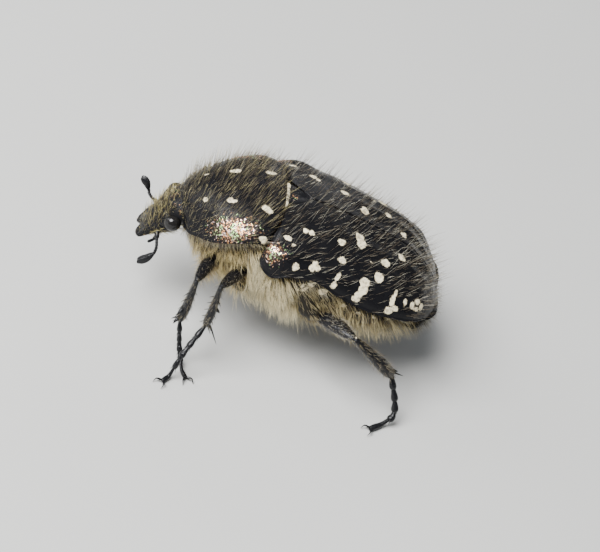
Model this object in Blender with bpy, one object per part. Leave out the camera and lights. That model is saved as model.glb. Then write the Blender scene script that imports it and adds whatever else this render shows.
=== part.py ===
"""White-spotted rose beetle, life size, standing on its six feet.

X points to the beetle's left, Y to its tail and Z up, and the floor is Z = 0.
The sizes below are millimetres, measured from the tip of the head, and
place() turns them into metres standing on the floor.
"""
import math
import random

import bmesh
import bpy
from mathutils import Vector

# Whole animal
MM = 0.001
JOINT_GAP = 0.3
EYE_GAP = 0.25
MERGE_DISTANCE = 0.000001
HEAD_TIP_HEIGHT = 2.6
STANCE_CENTRE = 5.67
RANDOM_SEED = 20

# Pronotum: (way from front to base, size)
PRONOTUM_FRONT = 1.22
PRONOTUM_BASE = 4.42
PRONOTUM_CORNER_BACK = 0.4
PRONOTUM_CORNER_FORWARD = 0.5
PRONOTUM_HALF_WIDTH = ((0.0, 1.12), (0.2, 1.6), (0.38, 1.95), (0.6, 2.2), (0.8, 2.27), (1.0, 2.2))
PRONOTUM_TOP = ((0.0, 2.3), (0.15, 2.74), (0.35, 3.14), (0.6, 3.36), (0.85, 3.43), (1.0, 3.41))
PRONOTUM_RIM = ((0.0, 1.2), (0.2, 1.66), (0.38, 1.9), (0.6, 2.3), (0.85, 2.6), (1.0, 2.68))
PRONOTUM_ARCH = 2.15

# Elytra: (distance from the head tip, size)
ELYTRA_FRONT = 4.72
ELYTRA_END = 11.0
ELYTRA_SUTURE = 0.15
ELYTRA_HALF_WIDTH = (
    (4.72, 2.42), (4.95, 2.7), (5.35, 2.82), (6.2, 2.7),
    (7.2, 2.76), (8.2, 2.74), (9.0, 2.68), (11.0, 2.6),
)
ELYTRA_TOP = (
    (4.7, 3.38), (5.5, 3.34), (6.8, 3.14), (8.5, 2.64),
    (9.3, 2.36), (10.0, 1.9), (10.6, 1.3), (11.0, 0.72),
)
ELYTRA_RIM = (
    (4.7, 1.9), (5.1, 1.66), (5.7, 1.94), (6.3, 1.94),
    (7.1, 1.62), (8.0, 1.3), (9.2, 1.1), (11.0, 0.7),
)
ELYTRA_ARCH = 2.3
ELYTRA_TAPER_FROM = 8.4
SHELL_THICKNESS = 0.5

# Scutellum between the bases of the elytra
SCUTELLUM_FRONT = 4.74
SCUTELLUM_TIP = 5.5
SCUTELLUM_HALF_WIDTH = 0.62
SCUTELLUM_THICKNESS = 0.42

# Trunk under the shells
PROTHORAX_ENDS = (2.04, 3.82)
THORAX_ENDS = (4.13, 6.8)
ABDOMEN_ENDS = (7.1, 9.84)
SEAM_BULGE = 0.45
BELLY_LINE = (
    (1.9, 0.5), (3.0, -0.1), (4.2, -0.45), (5.4, -0.64),
    (6.6, -0.66), (8.0, -0.52), (9.2, -0.3), (10.3, -0.05),
)
BELLY_SIDE_INSET = 0.22
PYGIDIUM_CENTRE = (0.0, 10.62, -0.02)
PYGIDIUM_HALF = (1.5, 0.37, 0.47)

# Head, along the line from its neck to the tip of the clypeus
HEAD_NECK = (0.0, 1.2, 1.5)
HEAD_TIP = (0.0, 0.07, -0.01)
HEAD_HALF_WIDTH = (
    (0.0, 0.78), (0.25, 0.88), (0.45, 0.78), (0.6, 0.66),
    (0.8, 0.62), (0.93, 0.62), (1.0, 0.54),
)
HEAD_UPPER_DEPTH = ((0.0, 0.34), (0.25, 0.42), (0.5, 0.34), (0.75, 0.22), (1.0, 0.11))
HEAD_LOWER_DEPTH = ((0.0, 0.34), (0.25, 0.5), (0.5, 0.46), (0.75, 0.26), (1.0, 0.1))
CLYPEUS_NOTCH = 0.2
EYE_CENTRE = (0.86, 1.04, 1.36)
EYE_RADIUS = 0.33
PALP = ((0.26, 0.72, 0.5), (0.4, 0.74, 0.12), (0.36, 0.56, -0.22))
PALP_RADIUS = 0.13

# Legs: hip, knee, ankle, middle of the tarsus and toe of each
LEGS = {
    "front_L": (
        (1.0, 2.85, 0.65), (2.99, 2.2, 0.98), (2.95, 2.17, -1.05),
        (3.4, 2.5, -2.1), (4.18, 2.9, -2.45),
    ),
    "mid_L": (
        (1.25, 4.1, 0.7), (3.12, 3.05, 1.1), (3.22, 3.03, -0.75),
        (4.04, 2.51, -1.57), (4.62, 2.07, -2.45),
    ),
    "hind_L": (
        (1.6, 6.35, -0.1), (3.6, 8.03, 0.75), (3.22, 9.87, -0.8),
        (3.75, 10.4, -2.1), (4.39, 9.65, -2.45),
    ),
    "front_R": (
        (-1.0, 2.85, 0.65), (-2.95, 2.1, 0.95), (-3.0, 1.9, -1.0),
        (-3.3, 2.05, -2.05), (-3.85, 2.4, -2.45),
    ),
    "mid_R": (
        (-1.25, 4.4, 0.4), (-3.2, 4.2, 1.0), (-3.4, 4.75, -0.85),
        (-3.85, 5.15, -2.05), (-4.35, 5.5, -2.45),
    ),
    "hind_R": (
        (-1.6, 6.35, -0.1), (-3.55, 7.95, 0.75), (-3.3, 9.7, -0.85),
        (-3.65, 10.15, -2.1), (-4.05, 10.75, -2.45),
    ),
}
FEMUR_RADIUS = {"front": 0.29, "mid": 0.29, "hind": 0.36}
TIBIA_RADIUS = {"front": 0.26, "mid": 0.26, "hind": 0.28}
TARSUS_RADIUS = 0.24
FOOT_RADIUS = 0.18
SPUR_LENGTH = {"front": 0.35, "mid": 0.7, "hind": 0.4}
TOOTH_PLACES = {"front": (0.66, 0.86), "mid": (), "hind": (0.55, 0.82)}

# Antennae: way of the stem, then of the club
ANTENNAE = {
    "antenna_L": (
        (0.6, 0.67, 0.73), (0.88, 0.73, 0.5), (1.04, 0.8, 0.22),
        (1.1, 0.78, -0.05), (1.15, 0.31, -0.49),
    ),
    "antenna_R": (
        (-0.6, 0.62, 0.78), (-0.85, 0.42, 0.72), (-0.98, 0.2, 0.85),
        (-1.05, 0.12, 1.08), (-1.2, -0.2, 1.38),
    ),
}
ANTENNA_RADIUS = 0.19
CLUB_RADIUS = 0.25

# Locks of the coat: width and depth at the root, and how deep the root is sunk in
LOCK_WIDTH = 0.52
LOCK_DEPTH = 0.3
LOCK_SINK = 0.22
LOCK_STEPS = ((0.0, 0.9, 1.0), (0.42, 1.0, 0.9), (0.34, 0.68, 0.6))


def place(point):
    """Metres on the floor for a point measured in millimetres from the head tip."""
    return Vector((point[0], point[1] - STANCE_CENTRE, point[2] + HEAD_TIP_HEIGHT)) * MM


def curve(stations, at):
    """Value at a place on a smooth line through a few (place, value) stations."""
    if at <= stations[0][0]:
        return stations[0][1]
    if at >= stations[-1][0]:
        return stations[-1][1]
    steps = []
    for (left, low), (right, high) in zip(stations, stations[1:]):
        steps.append((high - low) / (right - left))
    slopes = [steps[0]]
    for before, after in zip(steps, steps[1:]):
        same_way = before * after > 0.0
        slopes.append(2.0 * before * after / (before + after) if same_way else 0.0)
    slopes.append(steps[-1])
    for index, ((left, low), (right, high)) in enumerate(zip(stations, stations[1:])):
        if at <= right:
            width = right - left
            way = (at - left) / width
            rest = 1.0 - way
            value = low * rest * rest * (1.0 + 2.0 * way) + high * way * way * (3.0 - 2.0 * way)
            return value + width * way * rest * (slopes[index] * rest - slopes[index + 1] * way)
    return stations[-1][1]


def power(value, exponent):
    """Signed power, for rounded-box cross-sections."""
    return math.copysign(abs(value) ** exponent, value)


# Surfaces of the back
def pronotum_point(along, across, inset=0.0):
    """Point of the pronotum: along 0 front to 1 base, across 0 right to 1 left."""
    turn = (across * 2.0 - 1.0) * math.pi / 2.0
    half = curve(PRONOTUM_HALF_WIDTH, along) - inset
    rim = curve(PRONOTUM_RIM, along)
    arch = max(curve(PRONOTUM_TOP, along) - inset - rim, 0.0)
    x = half * power(math.sin(turn), 2.0 / PRONOTUM_ARCH)
    z = rim + arch * max(math.cos(turn), 0.0) ** (2.0 / PRONOTUM_ARCH)
    side = abs(x) / half
    front = PRONOTUM_FRONT + PRONOTUM_CORNER_BACK * side ** 2
    base = PRONOTUM_BASE - PRONOTUM_CORNER_FORWARD * side ** 3
    return Vector((x, front + (base - front) * along, z))


def elytron_half_width(y):
    """Half the width over both elytra, rounded off to the rear."""
    rear = max(y - ELYTRA_TAPER_FROM, 0.0) / (ELYTRA_END - ELYTRA_TAPER_FROM)
    return curve(ELYTRA_HALF_WIDTH, y) * max(1.0 - rear ** 2.6, 0.0) ** 0.5


def suture_edge(y):
    """Inner edge of an elytron, which gives way to the scutellum in front."""
    return ELYTRA_SUTURE + max(SCUTELLUM_TIP + 0.3 - y, 0.0) * 0.88


def elytron_point(along, across, inset=0.0, side=1.0):
    """Point of an elytron: along 0 base to 1 apex, across 0 suture to 1 margin."""
    way = 1.0 - (1.0 - along) ** 1.25
    y = ELYTRA_FRONT + (ELYTRA_END - ELYTRA_FRONT) * way
    rim = curve(ELYTRA_RIM, y)
    arch = max(curve(ELYTRA_TOP, y) - inset - rim, 0.0)
    half = max(elytron_half_width(y), 0.55)
    inner = suture_edge(y)
    start = math.asin(min((inner / half) ** (ELYTRA_ARCH / 2.0), 1.0))
    turn = start + (math.pi / 2.0 - start) * across
    reach = math.sin(turn) ** (2.0 / ELYTRA_ARCH)
    span = max(half - inset, inner + 0.12)
    x = inner + (span - inner) * (half * reach - inner) / max(half - inner, 0.001)
    z = rim + arch * max(math.cos(turn), 0.0) ** (2.0 / ELYTRA_ARCH)
    shoulder = PRONOTUM_CORNER_FORWARD * min(x / 2.3, 1.1) ** 3 * (1.0 - way) ** 3
    return Vector((side * x, y - inset * way ** 3 - shoulder, z))


# Surfaces of the trunk
def shell_over(y):
    """Half width, top and rim of the shell that covers the trunk at a station."""
    if y < 4.3:
        middle = (y - PRONOTUM_FRONT) / (PRONOTUM_BASE - PRONOTUM_FRONT)
        front = PRONOTUM_FRONT + PRONOTUM_CORNER_BACK
        side = (y - front) / (PRONOTUM_BASE - PRONOTUM_CORNER_FORWARD - front)
        return curve(PRONOTUM_HALF_WIDTH, side), curve(PRONOTUM_TOP, middle), curve(PRONOTUM_RIM, side)
    return elytron_half_width(y), curve(ELYTRA_TOP, y), curve(ELYTRA_RIM, y)


def trunk_point(ends, along, turn):
    """Point of a trunk section, narrow under its shell and full at the belly.

    Where two sections meet, the front one ends in a dome and the other in a cup.
    """
    front, back = ends
    y = front + (back - front) * (1.0 - math.cos(math.pi * along)) / 2.0
    half, top, rim = shell_over(y)
    belly = curve(BELLY_LINE, y)
    clear = SHELL_THICKNESS + JOINT_GAP + 0.3 * max(y - ELYTRA_TAPER_FROM, 0.0)
    if y < PRONOTUM_BASE:
        clear += 0.22
    middle = (top + belly) / 2.0
    if math.sin(turn) >= -0.001:
        base = rim - JOINT_GAP
        x = (half - clear) * power(math.cos(turn), 0.85)
        z = base + (top - clear - base) * abs(math.sin(turn)) ** 0.85
    else:
        base = rim - JOINT_GAP - 0.06
        x = (half - BELLY_SIDE_INSET) * power(math.cos(turn), 0.8)
        z = base + (belly - base) * abs(math.sin(turn)) ** 0.8
    fullness = max(math.sin(math.pi * along), 0.0) ** 0.13
    nearest = front if along < 0.5 else back
    if PROTHORAX_ENDS[0] < nearest < ABDOMEN_ENDS[1]:
        y += SEAM_BULGE * (1.0 - fullness ** 2)
    return Vector((x * fullness, y, middle + (z - middle) * fullness))


def ball_point(centre, half, along, turn):
    """Point of an upright rounded lump with the given half sizes."""
    ring = math.sin(math.pi * along)
    x = centre[0] + half[0] * ring * math.cos(turn)
    y = centre[1] + half[1] * ring * math.sin(turn)
    return Vector((x, y, centre[2] + half[2] * math.cos(math.pi * along)))


def head_point(along, turn):
    """Point of the head: along 0 neck to 1 clypeus, turn round its axis."""
    neck = Vector(HEAD_NECK)
    tip = Vector(HEAD_TIP)
    axis = tip - neck
    length = axis.length
    axis.normalize()
    upward = Vector((0.0, axis.z, -axis.y))
    way = (1.0 - math.cos(math.pi * along)) / 2.0
    fullness = max(math.sin(math.pi * along), 0.0) ** 0.5
    side = power(math.cos(turn), 0.9) * curve(HEAD_HALF_WIDTH, way) * fullness
    depths = HEAD_UPPER_DEPTH if math.sin(turn) > 0.0 else HEAD_LOWER_DEPTH
    depth = power(math.sin(turn), 0.9) * curve(depths, way) * fullness
    lobe = CLYPEUS_NOTCH * max(way - 0.8, 0.0) / 0.2
    along_axis = length * way + lobe * (math.sin(math.pi * min(abs(side) / 0.62, 1.0)) - 0.5)
    return neck + axis * along_axis + Vector((side, 0.0, 0.0)) + upward * depth


def path_point(points, way):
    """Point on a smooth line through a few points, way 0 to 1 by length."""
    lengths = [0.0]
    for first, second in zip(points, points[1:]):
        lengths.append(lengths[-1] + (Vector(second) - Vector(first)).length)
    values = []
    for axis in range(3):
        stations = [(span / lengths[-1], point[axis]) for span, point in zip(lengths, points)]
        values.append(curve(stations, way))
    return Vector(values)


def limb_point(points, radius, flatness, grow, guide, along, turn):
    """Point of a limb with rounded ends round a smooth line."""
    way = (1.0 - math.cos(math.pi * along)) / 2.0
    centre = path_point(points, way)
    ahead = path_point(points, min(way + 0.02, 1.0)) - path_point(points, max(way - 0.02, 0.0))
    ahead.normalize()
    side = (guide - ahead * guide.dot(ahead)).normalized()
    up = ahead.cross(side)
    fullness = max(math.sin(math.pi * along), 0.0) ** 0.5
    wide = (radius(way) + grow) * fullness
    deep = (radius(way) * flatness + grow) * fullness
    return centre + side * (wide * math.cos(turn)) + up * (deep * math.sin(turn))


def guide_across(points):
    """Direction square to the bend of a line, which keeps its rings from twisting."""
    first = (points[1] - points[0]).normalized()
    last = (points[-1] - points[-2]).normalized()
    guide = first.cross(last)
    if guide.length < 0.1:
        guide = first.cross(Vector((0.0, 0.0, 1.0)) if abs(first.z) < 0.8 else Vector((0.0, 1.0, 0.0)))
    return guide.normalized()


# Meshes
def facing_out(mesh):
    """Turn the faces of a closed mesh outward."""
    if mesh.calc_volume(signed=True) < 0.0:
        bmesh.ops.reverse_faces(mesh, faces=list(mesh.faces))
    return mesh


def shell(point, columns, rows, thickness):
    """Closed shell between a surface and the same surface set in by its thickness."""
    mesh = bmesh.new()
    bmesh.ops.create_grid(mesh, x_segments=columns, y_segments=rows, size=0.5)
    across = mesh.verts.layers.float.new("across")
    along = mesh.verts.layers.float.new("along")
    for vert in mesh.verts:
        vert[across] = vert.co.x + 0.5
        vert[along] = vert.co.y + 0.5
    raised = bmesh.ops.extrude_face_region(mesh, geom=list(mesh.faces))
    outer = {item for item in raised["geom"] if isinstance(item, bmesh.types.BMVert)}
    for vert in mesh.verts:
        inset = 0.0 if vert in outer else thickness
        vert.co = place(point(vert[along], vert[across], inset))
    return facing_out(mesh)


def round_form(point, around, along):
    """Closed form whose rings run from one pole to the other."""
    mesh = bmesh.new()
    bmesh.ops.create_uvsphere(mesh, u_segments=around, v_segments=along, radius=1.0)
    for vert in mesh.verts:
        way = math.acos(max(-1.0, min(1.0, vert.co.z))) / math.pi
        turn = math.atan2(vert.co.y, vert.co.x)
        vert.co = place(point(way, turn))
    return facing_out(mesh)


def limb(points, radius, flatness, around, rings, grow=0.0):
    """Closed limb; grow makes the same limb larger all round."""
    line = [Vector(point) for point in points]
    if grow:
        line[0] = line[0] - (line[1] - line[0]).normalized() * grow
        line[-1] = line[-1] + (line[-1] - line[-2]).normalized() * grow
    guide = guide_across(line)

    def surface(way, turn):
        return limb_point(line, radius, flatness, grow, guide, way, turn)

    return round_form(surface, around, rings)


def spine(root, tip, radius):
    """Closed pointed spine of five sides."""
    mesh = bmesh.new()
    first = place(root)
    last = place(tip)
    bmesh.ops.create_cone(
        mesh, cap_ends=True, segments=5, radius1=radius * MM, radius2=0.02 * MM, depth=(last - first).length
    )
    turn = Vector((0.0, 0.0, 1.0)).rotation_difference(last - first)
    for vert in mesh.verts:
        vert.co = turn @ vert.co + (first + last) / 2.0
    return mesh


def lock(root, normal, lie, length, stand):
    """Flat, tapered lock with a low ridge that leaves the surface and bends over to its lie."""
    side = normal.cross(lie).normalized()
    mesh = bmesh.new()
    centre = root - normal * LOCK_SINK
    rings = []
    for step, (share, width, depth) in enumerate(LOCK_STEPS):
        lean = stand * (1.0 - 0.18 * step)
        ahead = (normal * math.sin(lean) + lie * math.cos(lean)).normalized()
        centre = centre + ahead * (length * share)
        half = side * (LOCK_WIDTH * width / 2.0)
        rise = side.cross(ahead) * (LOCK_DEPTH * depth / 2.0)
        corners = (centre - half - rise, centre + half - rise, centre + rise)
        rings.append([mesh.verts.new(place(corner)) for corner in corners])
    lean = stand * 0.46
    ahead = (normal * math.sin(lean) + lie * math.cos(lean)).normalized()
    tip = mesh.verts.new(place(centre + ahead * (length * 0.4)))
    mesh.faces.new(rings[0])
    for lower, upper in zip(rings, rings[1:]):
        for index in range(3):
            after = (index + 1) % 3
            mesh.faces.new((lower[index], upper[index], upper[after], lower[after]))
    for index in range(3):
        mesh.faces.new((rings[-1][index], tip, rings[-1][(index + 1) % 3]))
    bmesh.ops.recalc_face_normals(mesh, faces=list(mesh.faces))
    return facing_out(mesh)


def material(name, colour, roughness, metallic=0.0):
    """Material of one finish."""
    finish = bpy.data.materials.get(name)
    if finish is None:
        finish = bpy.data.materials.new(name)
        finish.use_nodes = True
        shader = finish.node_tree.nodes["Principled BSDF"]
        shader.inputs["Base Color"].default_value = (*colour, 1.0)
        shader.inputs["Roughness"].default_value = roughness
        shader.inputs["Metallic"].default_value = metallic
    return finish


FINISHES = {
    "shield": ("cuticle_pronotum", (0.035, 0.033, 0.028), 0.3, 0.15),
    "elytra": ("cuticle_elytra", (0.018, 0.018, 0.02), 0.28, 0.1),
    "trunk": ("cuticle_underside", (0.03, 0.026, 0.02), 0.45, 0.0),
    "head": ("cuticle_head", (0.025, 0.024, 0.02), 0.35, 0.1),
    "leg": ("cuticle_legs", (0.016, 0.015, 0.014), 0.3, 0.0),
    "antenna": ("cuticle_antennae", (0.012, 0.012, 0.012), 0.4, 0.0),
    "eye": ("eye_black", (0.01, 0.01, 0.012), 0.08, 0.0),
}


def to_object(name, mesh, finish=None, origin=None):
    """Object from a mesh, with its own origin and its finish."""
    data = bpy.data.meshes.new(name)
    mesh.to_mesh(data)
    mesh.free()
    item = bpy.data.objects.new(name, data)
    if origin is not None:
        start = place(origin)
        for vert in data.vertices:
            vert.co = vert.co - start
        item.location = start
    if finish is not None:
        data.materials.append(material(*FINISHES[finish]))
    return item


def combine(item, meshes, operation, solver="EXACT"):
    """Join closed meshes to an object, or cut them out of it, in one Boolean."""
    group = bpy.data.collections.new(item.name + "_forms")
    bpy.context.scene.collection.children.link(group)
    for index, mesh in enumerate(meshes):
        form = to_object(f"{item.name}_form_{index}", mesh)
        form.display_type = "WIRE"
        form.hide_render = True
        group.objects.link(form)
    change = item.modifiers.new("combine", "BOOLEAN")
    change.operation = operation
    change.operand_type = "COLLECTION"
    change.collection = group
    change.solver = solver
    bpy.context.view_layer.update()
    graph = bpy.context.evaluated_depsgraph_get()
    result = bpy.data.meshes.new_from_object(item.evaluated_get(graph))
    item.modifiers.clear()
    item.data = result
    for form in list(group.objects):
        bpy.data.objects.remove(form)
    bpy.data.collections.remove(group)
    keep_largest(result)


def keep_largest(data):
    """Drop all but the largest closed surface of a mesh, and its slivers."""
    mesh = bmesh.new()
    mesh.from_mesh(data)
    waiting = set(mesh.faces)
    surfaces = []
    while waiting:
        reached = [waiting.pop()]
        surface = list(reached)
        while reached:
            face = reached.pop()
            for edge in face.edges:
                for other in edge.link_faces:
                    if other in waiting:
                        waiting.remove(other)
                        reached.append(other)
                        surface.append(other)
        surfaces.append(surface)
    surfaces.sort(key=lambda faces: sum(face.calc_area() for face in faces))
    loose = [face for surface in surfaces[:-1] for face in surface]
    if loose:
        bmesh.ops.delete(mesh, geom=loose, context="FACES")
    bmesh.ops.triangulate(mesh, faces=list(mesh.faces))
    bmesh.ops.dissolve_degenerate(mesh, dist=MERGE_DISTANCE, edges=list(mesh.edges))
    bmesh.ops.triangulate(mesh, faces=list(mesh.faces))
    mesh.to_mesh(data)
    mesh.free()


def outward(point, first, second, centre):
    """Root and outward normal of a surface at one place; centre is the height of its middle."""
    step = 0.02
    root = point(first, second)
    along = point(first + step, second) - point(first - step, second)
    across = point(first, second + step) - point(first, second - step)
    normal = along.cross(across).normalized()
    if normal.dot(root - Vector((0.0, root.y, centre))) < 0.0:
        normal = -normal
    return root, normal


def coat(point, places, centre, length, stand, pull, draw):
    """Locks over a surface, which lie along pull and stand up by an angle in degrees."""
    locks = []
    for first, second in places:
        first = first + draw.uniform(-0.02, 0.02)
        second = second + draw.uniform(-0.015, 0.015)
        root, normal = outward(point, first, second, centre)
        lie = Vector(pull) + Vector((draw.uniform(-0.2, 0.2), 0.0, draw.uniform(-0.1, 0.1)))
        lie = (lie - normal * lie.dot(normal)).normalized()
        reach = length * draw.uniform(0.85, 1.15)
        locks.append(lock(root, normal, lie, reach, math.radians(stand + draw.uniform(-8.0, 8.0))))
    return locks


def staggered(rows, columns, first, last, left, right):
    """Places in rows, every second row moved by half a step."""
    places = []
    for row in range(rows):
        along = first + (last - first) * row / max(rows - 1, 1)
        count = columns - row % 2
        for column in range(count):
            share = (column + 0.5 + 0.5 * (row % 2)) / columns
            places.append((along, left + (right - left) * share))
    return places


# Legs
def leg_lines(joints):
    """Lines of femur, tibia and tarsus through the five joints of a leg."""
    hip, knee, ankle, middle, toe = (Vector(joint) for joint in joints)
    femur = (hip, hip.lerp(knee, 0.5) + Vector((0.0, 0.0, 0.06)), knee)
    tibia = (knee, knee.lerp(ankle, 0.62) + Vector((0.0, 0.03, 0.0)), ankle)
    sole = toe.lerp(middle, 0.32)
    sole.z = toe.z
    return femur, tibia, (ankle, middle, sole, toe)


def femur_mesh(pair, line, grow=0.0):
    """Femur, thickest in its outer half."""
    thick = FEMUR_RADIUS[pair]
    stations = ((0.0, thick * 0.75), (0.55, thick), (1.0, thick * 0.8))
    return limb(line, lambda way: curve(stations, way), 0.82, 10, 9, grow)


def tibia_mesh(pair, line, grow=0.0):
    """Tibia, widening to its end."""
    thick = TIBIA_RADIUS[pair]
    stations = ((0.0, thick * 0.85), (0.8, thick), (1.0, thick))
    return limb(line, lambda way: curve(stations, way), 0.9, 8, 8, grow)


def tibia_spines(pair, line, tarsus):
    """Teeth on the outer edge of a tibia, and two spurs at its end clear of the tarsus."""
    start, end = line[0], line[-1]
    down = (end - start).normalized()
    outer = Vector((math.copysign(0.8, start.x), -0.6, 0.0)) if pair == "front" else Vector((0.0, 0.9, 0.35))
    outer = (outer - down * outer.dot(down)).normalized()
    away = tarsus[0] - tarsus[1]
    away = (away - down * away.dot(down)).normalized()
    spines = []
    for share in TOOTH_PLACES[pair]:
        root = start.lerp(end, share) + outer * 0.08
        spines.append(spine(root, root + outer * 0.42 + down * 0.14, 0.14))
    spread = away.cross(down)
    for way in (-1.0, 1.0):
        root = end - down * 0.34 + away * 0.05 + spread * (0.07 * way)
        tip = root + down * (0.1 + SPUR_LENGTH[pair]) + away * 0.42 + spread * (0.16 * way)
        spines.append(spine(root, tip, 0.12))
    return spines


def tarsus_mesh(line):
    """Tarsus of five joints, its last one flat where it stands."""
    def radius(way):
        swell = 1.0 + 0.12 * math.cos(way * 5.0 * math.tau)
        return (TARSUS_RADIUS + (FOOT_RADIUS - TARSUS_RADIUS) * way) * swell

    mesh = limb(line, radius, 1.0, 7, 12)
    for vert in mesh.verts:
        vert.co.z = max(vert.co.z, 0.0)
    return mesh


def claws(line):
    """Two claws at the end of a tarsus."""
    end = line[-1]
    ahead = end - line[-2]
    ahead.z = 0.0
    ahead.normalize()
    spread = Vector((ahead.y, -ahead.x, 0.0))
    pair = []
    for way in (-1.0, 1.0):
        root = end - ahead * 0.12
        tip = root + ahead * 0.5 + spread * (0.26 * way) + Vector((0.0, 0.0, 0.02))
        pair.append(spine(root, tip, 0.1))
    return pair


def show(item, root):
    """Put a finished object in the scene under the root empty."""
    bpy.context.scene.collection.objects.link(item)
    item.parent = root
    item.data.shade_smooth()
    item.data.set_sharp_from_angle(angle=math.radians(50.0))


def build():
    """Model the whole beetle."""
    for item in list(bpy.data.objects):
        bpy.data.objects.remove(item)
    root = bpy.data.objects.new("beetle", None)
    bpy.context.scene.collection.objects.link(root)
    draw = random.Random(RANDOM_SEED)

    # Back: pronotum, scutellum and the two elytra
    mesh = shell(pronotum_point, 20, 9, SHELL_THICKNESS)
    item = to_object("pronotum", mesh, "shield", (0.0, PRONOTUM_BASE, 3.0))
    show(item, root)
    back = (0.0, 1.0, 0.0)
    forms = coat(pronotum_point, staggered(5, 8, 0.06, 0.8, 0.03, 0.97), 0.5, 1.25, 62.0, back, draw)
    combine(item, forms, "UNION", "MANIFOLD")
    for name, side in (("elytron_L", 1.0), ("elytron_R", -1.0)):
        def surface(along, across, inset=0.0, side=side):
            return elytron_point(along, across, inset, side)

        mesh = shell(surface, 9, 15, SHELL_THICKNESS)
        item = to_object(name, mesh, "elytra", (side * 0.2, ELYTRA_FRONT, 3.0))
        show(item, root)
        forms = coat(surface, staggered(7, 5, 0.1, 0.86, 0.0, 0.98), 0.5, 1.1, 58.0, back, draw)
        combine(item, forms, "UNION", "MANIFOLD")

    def scutellum_point(along, across, inset=0.0):
        y = SCUTELLUM_FRONT + (SCUTELLUM_TIP - SCUTELLUM_FRONT) * along
        half = 0.08 + (SCUTELLUM_HALF_WIDTH - 0.08) * (1.0 - along) ** 0.9
        x = half * (across * 2.0 - 1.0)
        return Vector((x, y, curve(ELYTRA_TOP, y) - 0.2 * x ** 2 - inset))

    mesh = shell(scutellum_point, 6, 5, SCUTELLUM_THICKNESS)
    item = to_object("scutellum", mesh, "shield", (0.0, SCUTELLUM_FRONT, 3.1))
    show(item, root)

    # Legs, whose hips are let into the trunk
    femora = {"front": [], "mid": [], "hind": []}
    for name, joints in LEGS.items():
        pair = name.split("_")[0]
        femur, tibia, tarsus = leg_lines(joints)
        femora[pair].append(femur)
        item = to_object(f"femur_{name}", femur_mesh(pair, femur), "leg", joints[0])
        show(item, root)
        item = to_object(f"tibia_{name}", tibia_mesh(pair, tibia), "leg", joints[1])
        show(item, root)
        combine(item, tibia_spines(pair, tibia, tarsus), "UNION")
        combine(item, [femur_mesh(pair, femur, JOINT_GAP)], "DIFFERENCE")
        item = to_object(f"tarsus_{name}", tarsus_mesh(tarsus), "leg", joints[2])
        show(item, root)
        combine(item, claws(tarsus), "UNION")
        combine(item, [tibia_mesh(pair, tibia, JOINT_GAP)], "DIFFERENCE")

    # Trunk
    trunk = (
        ("prothorax", PROTHORAX_ENDS, ("front", "mid"), (3, 5)),
        ("thorax", THORAX_ENDS, ("front", "mid", "hind"), (3, 6)),
        ("abdomen", ABDOMEN_ENDS, ("hind",), (4, 6)),
    )
    for name, ends, pairs, (rows, columns) in trunk:
        def section(along, turn, ends=ends):
            return trunk_point(ends, along, turn)

        item = to_object(name, round_form(section, 22, 11), "trunk", (0.0, sum(ends) / 2.0, 1.0))
        show(item, root)
        under = staggered(rows, columns, 0.2, 0.62, -math.pi * 0.93, -math.pi * 0.07)
        forms = coat(section, under, 1.0, 0.85, 55.0, (0.0, 0.8, -0.6), draw)
        combine(item, forms, "UNION", "MANIFOLD")
        sockets = [femur_mesh(pair, femur, JOINT_GAP) for pair in pairs for femur in femora[pair]]
        combine(item, sockets, "DIFFERENCE", "MANIFOLD")

    def end_plate(along, turn):
        return ball_point(PYGIDIUM_CENTRE, PYGIDIUM_HALF, along, turn)

    item = to_object("pygidium", round_form(end_plate, 20, 10), "trunk", PYGIDIUM_CENTRE)
    show(item, root)
    behind = staggered(2, 6, 0.42, 0.66, math.pi * 0.08, math.pi * 0.92)
    forms = coat(end_plate, behind, PYGIDIUM_CENTRE[2], 0.6, 50.0, (0.0, 0.6, -0.8), draw)
    combine(item, forms, "UNION", "MANIFOLD")

    # Head with its eyes and antennae
    item = to_object("head", round_form(head_point, 24, 16), "head", HEAD_NECK)
    show(item, root)
    palps = []
    for side in (1.0, -1.0):
        line = [(side * x, y, z) for x, y, z in PALP]
        palps.append(limb(line, lambda way: PALP_RADIUS, 1.0, 7, 6))
    combine(item, palps, "UNION")
    cutters = []
    for side in (1.0, -1.0):
        centre = (side * EYE_CENTRE[0], EYE_CENTRE[1], EYE_CENTRE[2])
        grown = (EYE_RADIUS + EYE_GAP,) * 3
        cutters.append(round_form(lambda way, turn: ball_point(centre, grown, way, turn), 14, 9))
    for name, points in ANTENNAE.items():
        cutters.append(limb(points[:3], lambda way: ANTENNA_RADIUS, 1.0, 8, 7, EYE_GAP))
    combine(item, cutters, "DIFFERENCE")
    for name, side in (("eye_L", 1.0), ("eye_R", -1.0)):
        centre = (side * EYE_CENTRE[0], EYE_CENTRE[1], EYE_CENTRE[2])
        size = (EYE_RADIUS,) * 3
        mesh = round_form(lambda way, turn: ball_point(centre, size, way, turn), 14, 9)
        show(to_object(name, mesh, "eye", centre), root)
    thickness = ((0.0, ANTENNA_RADIUS), (0.55, ANTENNA_RADIUS), (0.72, CLUB_RADIUS), (1.0, CLUB_RADIUS))
    for name, points in ANTENNAE.items():
        mesh = limb(points, lambda way: curve(thickness, way), 0.85, 8, 14)
        show(to_object(name, mesh, "antenna", points[0]), root)


build()
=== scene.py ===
"""Looks of the white-spotted rose beetle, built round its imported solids.

Sizes are millimetres in the beetle's own axes: X to its left, Y from the tip of
the head to the tail, and Z up from the height of that tip. place() turns them
into metres on the floor, where the solids stand.
"""

import logging
import math
from dataclasses import dataclass
from enum import Enum
from typing import Callable, Sequence

import bmesh
import bpy
import numpy as np
from mathutils import Matrix, Vector


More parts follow.
